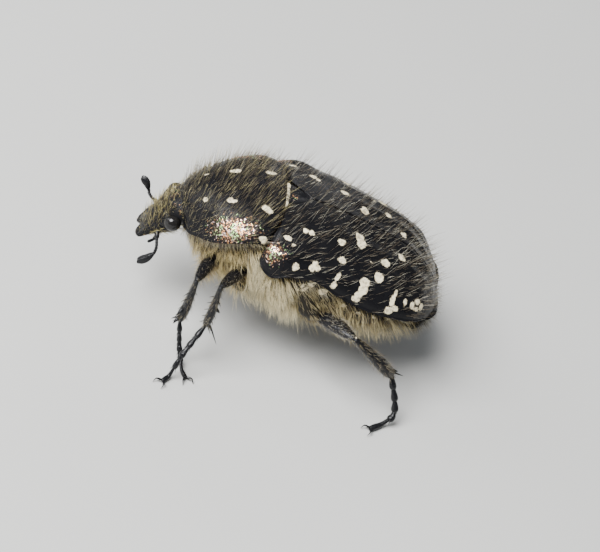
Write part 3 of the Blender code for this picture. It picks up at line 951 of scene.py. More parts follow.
def hairs(
    name: str, roots: Roots, style: HairStyle, finish: bpy.types.Material, seed: int
) -> None:
    """Make one piece of the coat.

    Args:
        name: Name of the piece.
        roots: Where its hairs grow.
        style: How they grow.
        finish: Their material.
        seed: Seed of their chance.
    """
    draw = np.random.default_rng(RANDOM_SEED + seed)
    shape, triangles = hair_template()
    count = len(roots.points)
    sweep = roots.forward if style.sweep is None else unit(np.asarray(style.sweep, float))
    sweep = sweep + draw.normal(0.0, style.stray, (count, 3)) + swirls(roots.points) * style.swirl
    length = style.length * (1.0 + style.spread * draw.uniform(-1.0, 1.0, count))
    thickness = style.thickness * draw.uniform(*HAIR_THICKNESS_RANGE, count)
    heights, order = np.unique(shape[:, 2].round(4), return_inverse=True)
    centre = roots.points - roots.normals * HAIR_SINK
    centres = [centre]
    heading = []
    for low, high in zip(heights, heights[1:]):
        rise = style.rise * (1.0 - style.bend * (low + high) / 2.0)
        ahead = unit(roots.normals * rise + sweep * (1.0 - rise))
        centre = centre + ahead * ((high - low) * length)[:, None]
        centres.append(centre)
        heading.append(ahead)
    heading.append(heading[-1])
    middle = np.stack(centres, axis=1)[:, order]
    ahead = unit(np.stack(heading, axis=1)[:, order])
    sideways = unit(np.cross(heading[0], HAIR_ASIDE))[:, None]
    upward = np.cross(ahead, sideways)
    width = thickness[:, None, None]
    points = middle + (sideways * shape[None, :, :1] + upward * shape[None, :, 1:2]) * width
    faces = (triangles[None] + (np.arange(count) * len(shape))[:, None, None]).reshape(-1)
    patch = (shape[:, :2] * 0.3 + 0.5 + shape[:, 2:] * (0.0, 0.2)) * HAIR_PATCH
    places = (roots.unwrap[:, None] * (1.0 - HAIR_PATCH) + patch[None]).reshape(-1, 2)
    item = piece(name, hair_mesh(name, points, faces, places), finish)
    every_corner = np.ones((1, len(shape)))
    number_layer(item, "tone", (draw.random(count)[:, None] * every_corner).reshape(-1))
    number_layer(item, "spot", (roots.spot[:, None] * every_corner).reshape(-1))
    number_layer(item, "height", np.tile(shape[:, 2], count))


def grow(name: str, roots: Roots, style: HairStyle, finish: bpy.types.Material, seed: int) -> None:
    """Grow hairs as one joined mesh, or several where there are many.

    Args:
        name: Name of the piece.
        roots: Where the hairs grow.
        style: How they grow.
        finish: Their material.
        seed: Seed of their chance.
    """
    groups = math.ceil(len(roots.points) / HAIR_LIMIT)
    for group in range(groups):
        label = name if groups == 1 else f"{name}_{group + 1}"
        hairs(label, roots.thinned(slice(group, None, groups)), style, finish, seed + group)


# Back
@dataclass
class Pronotum(Surface):
    """Shield over the front of the trunk."""

    front: float = 1.02
    base: float = 4.58
    corner_back: float = 0.4
    corner_forward: float = 0.5
    arch: float = 2.15
    bead: float = 0.035
    tuck: float = 0.12
    thickness: float = 0.13
    half_width: Stations = (
        (0.0, 1.0), (0.05, 1.26), (0.2, 1.6), (0.38, 1.95), (0.6, 2.2), (0.8, 2.27), (1.0, 2.2),
    )
    top: Stations = ((0.0, 2.3), (0.15, 2.74), (0.35, 3.14), (0.6, 3.36), (0.85, 3.43), (1.0, 3.4))
    rim: Stations = (
        (0.0, 1.55), (0.06, 1.5), (0.2, 1.66), (0.38, 1.9), (0.6, 2.3), (0.85, 2.6), (1.0, 2.62),
    )
    spots: Sequence[Spot] = (
        Spot(0.215, 0.425, 0.14, 0.06), Spot(0.22, 0.652, 0.1, 0.09),
        Spot(0.47, 0.43, 0.19, 0.1), Spot(0.5, 0.42, 0.12, 0.09), Spot(0.46, 0.642, 0.18, 0.12),
        Spot(0.82, 0.403, 0.22, 0.11), Spot(0.815, 0.652, 0.17, 0.13), Spot(0.85, 0.668, 0.16, 0.11),
        Spot(0.97, 0.93, 0.2, 0.13), Spot(0.97, 0.07, 0.2, 0.13),
    )
    fringe: HairStyle = HairStyle(0.34, 0.5, (0.0, 0.5, -0.6), 0.0055)
    long_hair: HairStyle = HairStyle(0.8, 0.45, (0.0, 0.4, 0.92), 0.0065)
    short_hair: HairStyle = HairStyle(0.36, 0.4, (0.0, 0.6, 0.8), 0.0065)

    def at(self, along: np.ndarray, across: np.ndarray) -> np.ndarray:
        """Points of the shield: along front to base, across right to left.

        Args:
            along: Shares from front to base.
            across: Shares from right to left.

        Returns:
            Points in rows.
        """
        turn = (across * 2.0 - 1.0) * math.pi / 2.0
        half = curve(self.half_width, along)
        rim = curve(self.rim, along)
        lift = np.maximum(curve(self.top, along) - rim, 0.0)
        x = half * power(np.sin(turn), 2.0 / self.arch)
        z = rim + lift * np.maximum(np.cos(turn), 0.0) ** (2.0 / self.arch)
        side = np.abs(x) / half
        front = self.front + self.corner_back * side**2
        base = self.base - self.corner_forward * side**3
        corner = ramp(along, 0.0, 0.12) * ramp(1.0 - along, 0.0, 0.08)
        bead = self.bead * ramp(from_middle(across), 0.93, 0.975) * corner
        tuck = self.tuck * ramp(from_middle(across), 0.975, 1.0) * corner
        x = x + np.sign(x) * (bead - tuck)
        z = z - 0.07 * ramp(along, 0.965, 1.0) - 0.1 * ramp(1.0 - along, 0.95, 1.0)
        return np.stack([x, front + (base - front) * along, z], axis=-1)

    def glint(self, along: np.ndarray, across: np.ndarray) -> np.ndarray:
        """Painted highlight of metal flecks towards the sides, where the light glints."""
        return bump_at(from_middle(across), 0.73, 0.2) * bump_at(along, 0.58, 0.23)

    def build(self, finish: bpy.types.Material) -> None:
        """Make the shield and its spots.

        Args:
            finish: Material of the surface.
        """
        mesh = mapped_grid(self, 100, 120, self.thickness)
        item = piece("pronotum_shell", mesh, finish, ["pronotum"])
        # Strength of the painted highlight at each corner.
        glint = self.glint(read_layer(item, "along"), read_layer(item, "across"))
        mark(item, spotted(self, self.spots, corners(item)), glint)

    def grow(self, finish: bpy.types.Material, draw: np.random.Generator) -> None:
        """Grow the shield's golden hair, long and short all over it and a fringe at its sides.

        Args:
            finish: Material of the hair.
            draw: Seeded source of chance.
        """

        def all_over(along: np.ndarray, across: np.ndarray) -> np.ndarray:
            """Hair everywhere, closest at the front and thinner where the highlight is painted."""
            crowd = 0.4 * ramp(1.0 - along, 0.75, 1.0)
            return (0.6 + crowd) * (1.0 - 0.25 * self.glint(along, across))

        def edge(along: np.ndarray, across: np.ndarray) -> np.ndarray:
            """Hair only at the side edges."""
            return ramp(from_middle(across), 0.9, 0.97)

        roots = roots_on(self, 3600, draw, edge)
        grow("pronotum_fringe", roots, self.fringe, finish, 7)
        roots = roots_on(self, 520, draw, all_over, self.spots)
        grow("pronotum_hair_long", roots, self.long_hair, finish, 1)
        roots = roots_on(self, 1150, draw, all_over, self.spots)
        grow("pronotum_hair_short", roots, self.short_hair, finish, 2)


@dataclass
class Elytron(Surface):
    """Wing case of one side."""

    side: Side
    front: float = 4.6
    end: float = 11.0
    suture: float = 0.012
    scutellum_tip: float = 5.5
    scutellum_gap: float = 0.02
    scutellum_slope: float = 0.86
    arch: float = 2.3
    taper_from: float = 8.4
    thickness: float = 0.13
    half_width: Stations = (
        (4.6, 2.34), (4.72, 2.48), (4.95, 2.7), (5.35, 2.82), (6.2, 2.7),
        (7.2, 2.76), (8.2, 2.74), (9.0, 2.68), (11.0, 2.6),
    )
    top: Stations = (
        (4.6, 3.36), (5.5, 3.34), (6.8, 3.14), (8.5, 2.64),
        (9.3, 2.36), (10.0, 1.9), (10.6, 1.3), (11.0, 0.72),
    )
    rim: Stations = (
        (4.6, 2.0), (5.1, 1.66), (5.7, 1.94), (6.3, 1.94),
        (7.1, 1.62), (8.0, 1.3), (9.2, 1.1), (11.0, 0.7),
    )
    side_spots: Sequence[Spot] = (
        Spot(0.305, 0.497, 0.17, 0.15), Spot(0.2, 0.765, 0.13, 0.13), Spot(0.206, 0.7, 0.12, 0.13),
        Spot(0.22, 0.738, 0.12, 0.12), Spot(0.508, 0.478, 0.19, 0.22), Spot(0.314, 0.71, 0.1, 0.16),
        Spot(0.305, 0.84, 0.12, 0.17), Spot(0.443, 0.61, 0.2, 0.19), Spot(0.443, 0.7, 0.2, 0.19),
        Spot(0.432, 0.78, 0.15, 0.17), Spot(0.422, 0.86, 0.16, 0.15), Spot(0.618, 0.57, 0.08, 0.17),
        Spot(0.611, 0.69, 0.11, 0.22), Spot(0.603, 0.85, 0.16, 0.17), Spot(0.635, 0.79, 0.17, 0.1),
        Spot(0.688, 0.652, 0.09, 0.17), Spot(0.738, 0.655, 0.12, 0.13), Spot(0.77, 0.58, 0.15, 0.11),
        Spot(0.805, 0.64, 0.14, 0.14), Spot(0.768, 0.7, 0.15, 0.1), Spot(0.138, 0.792, 0.15, 0.17),
        Spot(0.055, 0.413, 0.15, 0.11), Spot(0.092, 0.5, 0.07, 0.06), Spot(0.45, 0.36, 0.05, 0.04),
    )
    left_spots: Sequence[Spot] = (
        Spot(0.112, 0.322, 0.11, 0.12), Spot(0.14, 0.337, 0.12, 0.11), Spot(0.285, 0.312, 0.16, 0.14),
        Spot(0.37, 0.17, 0.2, 0.22), Spot(0.382, 0.22, 0.18, 0.22), Spot(0.53, 0.29, 0.18, 0.18),
        Spot(0.625, 0.14, 0.16, 0.19),
    )
    right_spots: Sequence[Spot] = (
        Spot(0.125, 0.278, 0.17, 0.13), Spot(0.145, 0.255, 0.11, 0.09), Spot(0.283, 0.225, 0.2, 0.12),
        Spot(0.388, 0.118, 0.18, 0.2), Spot(0.53, 0.233, 0.16, 0.18),
        Spot(0.633, 0.103, 0.14, 0.15),
    )
    long_hair: HairStyle = HairStyle(0.76, 0.45, (0.0, 0.5, 0.87), 0.0075)
    short_hair: HairStyle = HairStyle(0.3, 0.3, (0.0, 0.85, 0.5), 0.0075)

    @property
    def spots(self) -> Sequence[Spot]:
        """Spots of this side, those by the seam first."""
        near = self.left_spots if self.side is Side.LEFT else self.right_spots
        return (*near, *self.side_spots)

    def middle(self, points: np.ndarray) -> np.ndarray:
        """Points low inside the trunk, short of the apex."""
        none = 0.0 * points[:, 0]
        return np.stack([none, np.minimum(points[:, 1], 9.0), none + 0.3], axis=-1)

    def at(self, along: np.ndarray, across: np.ndarray) -> np.ndarray:
        """Points of the wing case: along base to apex, across suture to margin.

        Args:
            along: Shares from base to apex.
            across: Shares from suture to margin.

        Returns:
            Points in rows.
        """
        way = 1.0 - (1.0 - along) ** 1.25
        y = self.front + (self.end - self.front) * way
        rim = curve(self.rim, y)
        lift = np.maximum(curve(self.top, y) - rim, 0.0)
        rear = 0.975 * np.maximum(y - self.taper_from, 0.0) / (self.end - self.taper_from)
        half = curve(self.half_width, y) * np.maximum(1.0 - rear**2.6, 0.0) ** 0.5
        beside = np.maximum(self.scutellum_tip + self.scutellum_gap - y, 0.0)
        inner = self.suture + beside * self.scutellum_slope
        start = np.arcsin(np.minimum((inner / half) ** (self.arch / 2.0), 1.0))
        turn = start + (math.pi / 2.0 - start) * across
        x = half * np.sin(turn) ** (2.0 / self.arch)
        z = rim + lift * np.maximum(np.cos(turn), 0.0) ** (2.0 / self.arch)
        shoulder = 0.5 * np.minimum(x / 2.3, 1.1) ** 3 * (1.0 - way) ** 3
        relief = self.relief(way, across)
        tuck = 0.16 * ramp(across, 0.965, 1.0) * np.minimum(half, 1.0)
        notch = 0.08 * ramp(way, 0.9, 1.0) * (1.0 - np.minimum(x / 0.5, 1.0)) ** 2
        x = x * (1.0 + relief / 2.7) - tuck * 0.9
        z = z + relief - 0.08 * ramp(1.0 - way, 0.985, 1.0)
        return np.stack([self.side.value * x, y - shoulder - notch, z], axis=-1)

    def relief(self, way: np.ndarray, across: np.ndarray) -> np.ndarray:
        """Low ribs, the shoulder and tail humps and the raised edges.

        Args:
            way: Shares of the length from base to apex.
            across: Shares from suture to margin.

        Returns:
            Millimetres above the smooth wing case.
        """
        rear = ramp(way, 0.25, 0.5) * ramp(1.0 - way, 0.03, 0.2)
        ribs = 0.035 * (bump_at(across, 0.2, 0.035) + bump_at(across, 0.38, 0.035)) * rear
        seam = 0.05 * bump_at(across, 0.0, 0.05) * ramp(way, 0.3, 0.6)
        shoulder = 0.09 * bump_at(across, 0.62, 0.1) * bump_at(way, 0.1, 0.09)
        tail = 0.1 * bump_at(across, 0.55, 0.14) * bump_at(way, 0.86, 0.06)
        edge = 0.04 * ramp(across, 0.92, 0.965)
        hollow = 0.03 * bump_at(across, 0.1, 0.05) * rear
        return ribs + seam + shoulder + tail + edge - hollow

    def glint(self, along: np.ndarray, across: np.ndarray) -> np.ndarray:
        """Painted highlight of metal flecks on the shoulder, where the light glints."""
        return 0.85 * bump_at(across, 0.66, 0.13) * bump_at(along, 0.035, 0.045)

    def build(self, finish: bpy.types.Material) -> None:
        """Make the wing case and its spots.

        Args:
            finish: Material of the surface.
        """
        letter = self.side.letter
        mesh = mapped_grid(self, 150, 90, self.thickness)
        item = piece(f"elytron_{letter}_shell", mesh, finish, [f"elytron_{letter}"])
        # Strength of the painted highlight on the shoulder at each corner.
        glint = self.glint(read_layer(item, "along"), read_layer(item, "across"))
        mark(item, spotted(self, self.spots, corners(item)), glint)

    def grow(self, finish: bpy.types.Material, draw: np.random.Generator) -> None:
        """Grow the wing case's pale hair, long and short.

        Args:
            finish: Material of the hair.
            draw: Seeded source of chance.
        """

        def all_over(along: np.ndarray, across: np.ndarray) -> np.ndarray:
            """Hair everywhere, closer at the apex and thinner towards the margin."""
            return 0.8 + 0.2 * ramp(along, 0.75, 0.95) - 0.4 * ramp(across, 0.45, 0.8)

        name = f"elytron_{self.side.letter}_hair"
        seed = 3 if self.side is Side.LEFT else 5
        roots = roots_on(self, 280, draw, all_over, self.spots)
        grow(f"{name}_long", roots, self.long_hair, finish, seed)
        roots = roots_on(self, 480, draw, all_over, self.spots)
        grow(f"{name}_short", roots, self.short_hair, finish, seed + 1)


@dataclass
class Scutellum(Surface):
    """Small pointed shield between the bases of the wing cases."""

    front: float = 4.56
    tip: float = 5.53
    half: float = 0.8
    tip_half: float = 0.012
    height: float = 3.36
    thickness: float = 0.13

    def at(self, along: np.ndarray, across: np.ndarray) -> np.ndarray:
        """Points of the shield: along base to tip, across right to left.

        Args:
            along: Shares from base to tip.
            across: Shares from right to left.

        Returns:
            Points in rows.
        """
        y = self.front + (self.tip - self.front) * along
        half = self.tip_half + (self.half - self.tip_half) * (1.0 - along) ** 0.92
        x = half * (across * 2.0 - 1.0)
        dip = 0.04 * bump_at(across, 0.5, 0.3) + 0.05 * ramp(from_middle(across), 0.8, 1.0)
        z = self.height - 0.2 * x**2 - 0.02 * (y - self.front) - dip
        return np.stack([x, y, z], axis=-1)

    def build(self, finish: bpy.types.Material) -> None:
        """Make the shield, with the pale line on its base and a small painted highlight.

        Args:
            finish: Material of the surface.
        """
        mesh = mapped_grid(self, 24, 30, self.thickness)
        item = piece("scutellum_shell", mesh, finish, ["scutellum"])
        along = read_layer(item, "along")
        across = read_layer(item, "across")
        line = 0.055 - along * 0.42 - 0.1 * ramp(from_middle(across), 0.75, 0.95)
        # The second number is a small painted highlight of metal flecks on the shield.
        mark(item, line, 0.25 * bump_at(along, 0.35, 0.12) * bump_at(across, 0.6, 0.2))


# Trunk
@dataclass(frozen=True)
class Coxa:
    """Joint that carries a leg, on the left: its middle line, radius and flatness."""

    line: Sequence[Point]
    radius: float
    flatness: float
    fullness: float = 0.45

    def form(self, side: Side, ends: float = 1.0) -> "Limb":
        """Shape of the coxa.

        Args:
            side: Side of the beetle.
            ends: Radius at both ends, as a share of the middle's.

        Returns:
            The coxa as a limb.
        """
        stations = ((0.0, self.radius * ends), (0.4, self.radius), (1.0, self.radius * ends))
        return Limb(side.mirror(self.line), stations, self.flatness, self.fullness, TAILWARD)


@dataclass
class Underside(Surface):
    """Skin of the whole trunk under the shells."""

    front: float = 1.75
    end: float = 10.3
    belly: Stations = (
        (1.7, 0.62), (3.0, -0.1), (4.2, -0.45), (5.4, -0.64),
        (6.6, -0.66), (8.0, -0.56), (9.2, -0.46), (10.3, -0.36),
    )
    half: Stations = (
        (1.7, 1.2), (2.2, 1.65), (3.0, 2.02), (3.8, 2.12), (4.3, 2.12), (4.9, 2.42), (5.6, 2.62),
        (6.4, 2.52), (8.2, 2.54), (9.0, 2.42), (9.6, 2.18), (10.3, 1.62),
    )
    rim: Stations = (
        (1.7, 1.3), (2.3, 1.72), (3.0, 2.02), (3.6, 2.36), (4.2, 2.4), (4.9, 1.82), (5.7, 1.98),
        (6.3, 1.98), (7.1, 1.68), (8.0, 1.36), (9.2, 1.16), (10.3, 0.9),
    )
    plate_edges: Sequence[float] = (7.15, 7.75, 8.35, 8.95, 9.5)
    coxae: Sequence[Coxa] = (
        Coxa(((0.3, 2.8, 0.08), (1.15, 2.75, 0.25), (1.85, 2.5, 0.75)), 0.32, 0.9),
        Coxa(((0.42, 4.2, -0.25), (1.35, 4.05, -0.05), (2.05, 3.75, 0.6)), 0.34, 0.85),
        Coxa(((0.12, 6.6, -0.6), (1.2, 6.6, -0.56), (2.25, 6.75, -0.05)), 0.46, 0.42),
        Coxa(((2.15, 6.8, -0.2), (2.5, 6.35, 0.55), (2.46, 5.85, 1.35)), 0.36, 0.5),
    )
    knob: Sequence[Point] = ((0.0, 3.5, -0.3), (0.0, 4.0, -0.5), (0.0, 4.6, -0.5))
    side_places: Stations = ((6.55, 0.19), (7.45, 0.12), (8.05, 0.12), (8.65, 0.11), (9.2, 0.1))
    middle_places: Sequence[float] = (7.5, 8.1, 8.7, 9.25)
    spots_beyond: float = 1.4
    short_hair: HairStyle = HairStyle(0.3, 0.3, (0.0, 0.75, -0.65), 0.0085)
    front_hair: HairStyle = HairStyle(0.5, 0.5, (0.0, 0.55, -0.83), 0.0085, 0.35, 0.17, 0.35, 0.35)
    long_hair: HairStyle = HairStyle(0.72, 0.5, (0.0, 0.55, -0.83), 0.0085, 0.35, 0.17, 0.35, 0.35)

    def length_at(self, along: np.ndarray) -> np.ndarray:
        """Distance from the head's tip, closer together towards both ends."""
        return self.front + (self.end - self.front) * (1.0 - np.cos(math.pi * along)) / 2.0

    def at(self, along: np.ndarray, across: np.ndarray) -> np.ndarray:
        """Points of the skin: along front to rear, across once round.

        Args:
            along: Shares from front to rear.
            across: Shares of one turn.

        Returns:
            Points in rows.
        """
        turn = across * math.tau
        y = self.length_at(along)
        half, rim, belly = curve(self.half, y), curve(self.rim, y), curve(self.belly, y)
        fold = 0.0
        for edge in self.plate_edges:
            fold = fold + 0.06 * np.exp(-np.maximum(y - edge, 0.0) / 0.12) * ramp(y, edge - 0.03, edge)
        under = np.sin(turn) < 0.0
        x = (half - fold) * power(np.cos(turn), np.where(under, 0.8, 0.9))
        depth = np.abs(np.sin(turn)) ** np.where(under, 0.8, 0.9)
        z = np.where(under, rim + (belly + fold - rim) * depth, rim + 0.55 * depth)
        fullness = np.maximum(np.sin(math.pi * along), 0.0) ** 0.22
        middle = (rim + belly) / 2.0
        return np.stack([x * fullness, y, middle + (z - middle) * fullness], axis=-1)

    def build(self, finish: bpy.types.Material) -> None:
        """Make the skin with its coxae and the knob between the middle legs.

        Args:
            finish: Material of the surface.
        """
        meshes = [mapped_ball(self, 120, 150)]
        for coxa in self.coxae:
            for side in Side:
                meshes.append(mapped_ball(coxa.form(side, 0.8), 32, 28))
        knob = Limb(self.knob, ((0.0, 0.2), (0.5, 0.3), (1.0, 0.2)), 0.4, 0.5, LEFTWARD)
        meshes.append(mapped_ball(knob, 24, 20))
        nodes = ["prothorax", "thorax", "abdomen"]
        item = piece("underside_skin", joined(meshes), finish, nodes)
        points = corners(item)
        mark(item, np.maximum(self.side_spots(points), self.middle_spots(points)))

    def side_spots(self, points: np.ndarray) -> np.ndarray:
        """Tell how far points are inside the pale plate and spots along the sides.

        Args:
            points: Points in rows.

        Returns:
            Millimetres inside, negative outside.
        """
        depth = np.full(len(points), NO_SPOT)
        for y, size in self.side_places:
            away = np.hypot(points[:, 1] - y, points[:, 2] - curve(self.rim, y) + 0.42)
            depth = np.maximum(depth, (size - away) * 0.7)
        y, z = points[:, 1] - 5.98, points[:, 2] - 1.68
        plate = np.hypot((0.55 * y + 0.83 * z) / 0.45, (0.55 * z - 0.83 * y) / 0.2)
        depth = np.maximum(depth, np.minimum((1.0 - plate) * 0.2, 0.022))
        return np.where(np.abs(points[:, 0]) > self.spots_beyond, depth, NO_SPOT)

    def middle_spots(self, points: np.ndarray) -> np.ndarray:
        """Tell how far points are inside the pale spots down the middle of the belly.

        Args:
            points: Points in rows.

        Returns:
            Millimetres inside, negative outside.
        """
        depth = np.full(len(points), NO_SPOT)
        for y in self.middle_places:
            away = np.hypot((points[:, 1] - y) / 0.13, points[:, 0] / 0.17)
            depth = np.maximum(depth, np.where(points[:, 2] < 0.0, (1.0 - away) * 0.13, NO_SPOT))
        return depth

    def coat_roots(self, draw: np.random.Generator) -> Roots:
        """Find roots beneath the trunk and on the coxae, clear of the front and middle femora.

        Args:
            draw: Seeded source of chance.

        Returns:
            The roots.
        """

        def beneath(along: np.ndarray, across: np.ndarray) -> np.ndarray:
            """Hair on the lower half, thinner down the middle and on the abdomen.

            Args:
                along: Shares from front to rear.
                across: Shares of one turn.

            Returns:
                Share of hairs at each place.
            """
            height = np.sin(across * math.tau)
            y = self.length_at(along)
            middle = ramp(-height, 0.8, 0.97) * (0.55 + 0.3 * ramp(y, 6.0, 7.0))
            thin = 1.0 - 0.45 * ramp(y, 6.4, 7.4)
            return np.where(height < 0.05, 1.0, 0.0) * thin * (1.0 - middle)

        found = [roots_on(self, 15000, draw, beneath, (), (0.0, 0.0, 0.7, 1.0))]
        for number, coxa in enumerate(self.coxae):
            for side in Side:
                cell = (0.7 + 0.05 * number, 0.5 if side is Side.LEFT else 0.0, 0.05, 0.5)
                found.append(roots_on(coxa.form(side), 260, draw, even(1.0), (), cell))
        roots = Roots.together(found)
        for leg in LEGS:
            if leg.pair is not Pair.HIND:
                hip, _, knee = leg.lines()[0]
                share = (roots.points[:, :1] - hip[0]) / (knee[0] - hip[0])
                past = roots.points - (hip + (knee - hip) * np.clip(share, 0.0, 1.0))
                near = np.hypot(past[:, 1] / 0.28, (past[:, 2] - 0.2) / 0.45) < 1.0
                roots = roots.thinned(~(near & (np.abs(past[:, 0]) < 0.1)))
        return roots

    def on_flank(self, points: np.ndarray) -> np.ndarray:
        """Tell which points are on the pale plate of the flank or along the upright hind coxa.

        Args:
            points: Points in rows.

        Returns:
            True for each such point.
        """
        away = np.hypot((points[:, 1] - 6.2) / 0.85, (points[:, 2] - 1.4) / 0.8)
        beside = np.abs((points[:, 1] - 6.75) * 0.857 + (points[:, 2] + 0.15) * 0.514)
        bare = (beside < 0.36) & (points[:, 2] > -0.4) & (points[:, 2] < 1.5)
        return ((away < 1.0) | bare) & (np.abs(points[:, 0]) > self.spots_beyond)

    def grow(
        self,
        front: bpy.types.Material,
        chest: bpy.types.Material,
        rear: bpy.types.Material,
        draw: np.random.Generator,
    ) -> None:
        """Grow the shaggy hair of the sides and the belly.

        Args:
            front: Hair of the prothorax.
            chest: Hair of the chest.
            rear: Hair of the abdomen and of the flank behind the coxa.
            draw: Seeded source of chance.
        """
        roots = self.coat_roots(draw)
        flank = self.on_flank(roots.points)
        short = roots.thinned(flank)
        short.spot = self.side_spots(short.points)
        grow("flank_hair", short, self.short_hair, rear, 26)
        roots = roots.thinned(~flank)
        early = roots.points[:, 1] < 3.7 + draw.normal(0.0, 0.2, len(roots.points))
        grow("prothorax_hair", roots.thinned(early), self.front_hair, front, 20)
        late = roots.points[:, 1] > 6.5 + draw.normal(0.0, 0.25, len(roots.points))
        grow("underside_hair", roots.thinned(~early & ~late), self.long_hair, chest, 22)
        grow("abdomen_hair", roots.thinned(late), self.long_hair, rear, 24)


@dataclass
class TailPlate(Surface):
    """Last plate of the abdomen, which shows behind the wing cases."""

    centre: Point = (0.0, 10.3, 0.12)
    half: Point = (1.6, 0.55, 0.62)
    slant: float = 0.26
    spots: Sequence[Spot] = (
        Spot(0.45, 0.14, 0.15, 0.2), Spot(0.45, 0.36, 0.15, 0.2),
        Spot(0.56, 0.215, 0.16, 0.11), Spot(0.56, 0.285, 0.16, 0.11),
    )
    hair: HairStyle = HairStyle(0.5, 0.5, (0.0, 0.6, -0.8), 0.0065, 0.3, 0.25)

    def middle(self, points: np.ndarray) -> np.ndarray:
        """Centre of the plate's form."""
        return points * 0.0 + self.centre

    def at(self, along: np.ndarray, across: np.ndarray) -> np.ndarray:
        """Points of the plate: along top to bottom, across once round.

        Args:
            along: Shares from top to bottom.
            across: Shares of one turn.

        Returns:
            Points in rows.
        """
        turn = across * math.tau
        ring = np.sin(math.pi * along) ** 0.85
        height = np.cos(math.pi * along)
        narrowing = 1.0 - 0.35 * ramp(-height, 0.0, 1.0)
        x = self.half[0] * ring * np.cos(turn) * narrowing
        y = self.half[1] * ring * np.sin(turn) + self.slant * height
        return np.stack([x, y, self.half[2] * height], axis=-1) + self.centre

    def build(self, finish: bpy.types.Material) -> None:
        """Make the plate and its spots.

        Args:
            finish: Material of the surface.
        """
        item = piece("pygidium_plate", mapped_ball(self, 64, 40), finish, ["pygidium"])
        mark(item, spotted(self, self.spots, corners(item)))

    def grow(self, finish: bpy.types.Material, draw: np.random.Generator) -> None:
        """Grow the plate's hair.

        Args:
            finish: Material of the hair.
            draw: Seeded source of chance.
        """

        def rearward(along: np.ndarray, across: np.ndarray) -> np.ndarray:
            """Hair only on the side that faces back."""
            return np.where(np.sin(across * math.tau) > 0.1, 1.0, 0.0)

        roots = roots_on(self, 900, draw, rearward, self.spots)
        grow("pygidium_hair", roots, self.hair, finish, 24)


# Limbs
@dataclass
class Limb(Surface):
    """Round or flattened limb along a smooth line.

    flatness is its depth as a share of its width, and a lower fullness makes its
    ends blunter. guide is the direction of its width, worked out where it is None.
    """

    line: Sequence[Point]
    radius: Stations
    flatness: float = 1.0
    fullness: float = 0.5
    guide: Point | None = None

    def path(self, way: np.ndarray) -> np.ndarray:
        """Read the middle line.

        Args:
            way: Shares of its length.

        Returns:
            Points in rows.
        """
        points = np.array(self.line, float)
        spans = np.concatenate(([0.0], np.cumsum(np.linalg.norm(np.diff(points, axis=0), axis=1))))
        spans = spans / spans[-1]
        return np.stack([curve(list(zip(spans, points[:, axis])), way) for axis in range(3)], axis=-1)

    def _guide(self) -> np.ndarray:
        """Direction of the limb's width.

        Returns:
            The stated direction, or else one square to the bend of the middle line.
        """
        if self.guide is not None:
            return np.array(self.guide, float)
        points = np.array(self.line, float)
        first, last = unit(points[1] - points[0]), unit(points[-1] - points[-2])
        guide = np.cross(first, last)
        if np.linalg.norm(guide) < 0.1:
            guide = np.cross(first, UPWARD if abs(first[2]) < 0.8 else TAILWARD)
        return unit(guide)

    def middle(self, points: np.ndarray) -> np.ndarray:
        """Nearest of a few points of the middle line."""
        line = self.path(np.linspace(0.0, 1.0, 33))
        return line[np.argmin(np.linalg.norm(points[:, None] - line[None], axis=-1), axis=1)]

    def at(self, along: np.ndarray, across: np.ndarray) -> np.ndarray:
        """Points of the limb: along end to end, across once round.

        Args:
            along: Shares from end to end.
            across: Shares of one turn.

        Returns:
            Points in rows.
        """
        way = (1.0 - np.cos(math.pi * along)) / 2.0
        turn = across * math.tau
        before, after = np.maximum(way - PATH_STEP, 0.0), np.minimum(way + PATH_STEP, 1.0)
        ahead = unit(self.path(after) - self.path(before))
        guide = self._guide()
        side = unit(guide - ahead * np.sum(ahead * guide, axis=-1, keepdims=True))
        upward = np.cross(ahead, side)
        radius = curve(self.radius, way) * np.maximum(np.sin(math.pi * along), 0.0) ** self.fullness
        wide = side * (radius * np.cos(turn))[..., None]
        deep = upward * (radius * self.flatness * np.sin(turn))[..., None]
        return self.path(way) + wide + deep


def spike(
    root: np.ndarray, tip: np.ndarray, radius: float, bend: np.ndarray | float = 0.0
) -> bmesh.types.BMesh:
    """Make a pointed spine.

    Args:
        root: Where it starts, in millimetres.
        tip: Where it ends.
        radius: Radius at its root.
        bend: How far its middle is pushed aside.

    Returns:
        The spine's mesh.
    """
    middle = (root + tip) / 2.0 + bend
    form = Limb([root, middle, tip], ((0.0, radius), (0.5, radius * 0.62), (1.0, SPINE_TIP)), 1.0, 0.35)
    return mapped_ball(form, 8, 9)


@dataclass(frozen=True)
class LegSizes:
    """Sizes of a pair of legs: radii and lengths in millimetres, and shares for teeth and hair."""

    femur: float
    tibia: float
    tarsus: float
    spur: float
    tooth: float
    teeth: Sequence[float]
    hair: float


LEG_SIZES = {
    Pair.FRONT: LegSizes(
        femur=0.245, tibia=0.23, tarsus=0.115, spur=0.3, tooth=0.36, teeth=(0.68, 0.88), hair=0.5
    ),
    Pair.MID: LegSizes(
        femur=0.25, tibia=0.215, tarsus=0.125, spur=0.68, tooth=0.26, teeth=(0.55,), hair=0.5
    ),
    Pair.HIND: LegSizes(
        femur=0.36, tibia=0.3, tarsus=0.155, spur=0.34, tooth=0.26, teeth=(0.6, 0.92), hair=1.0
    ),
}


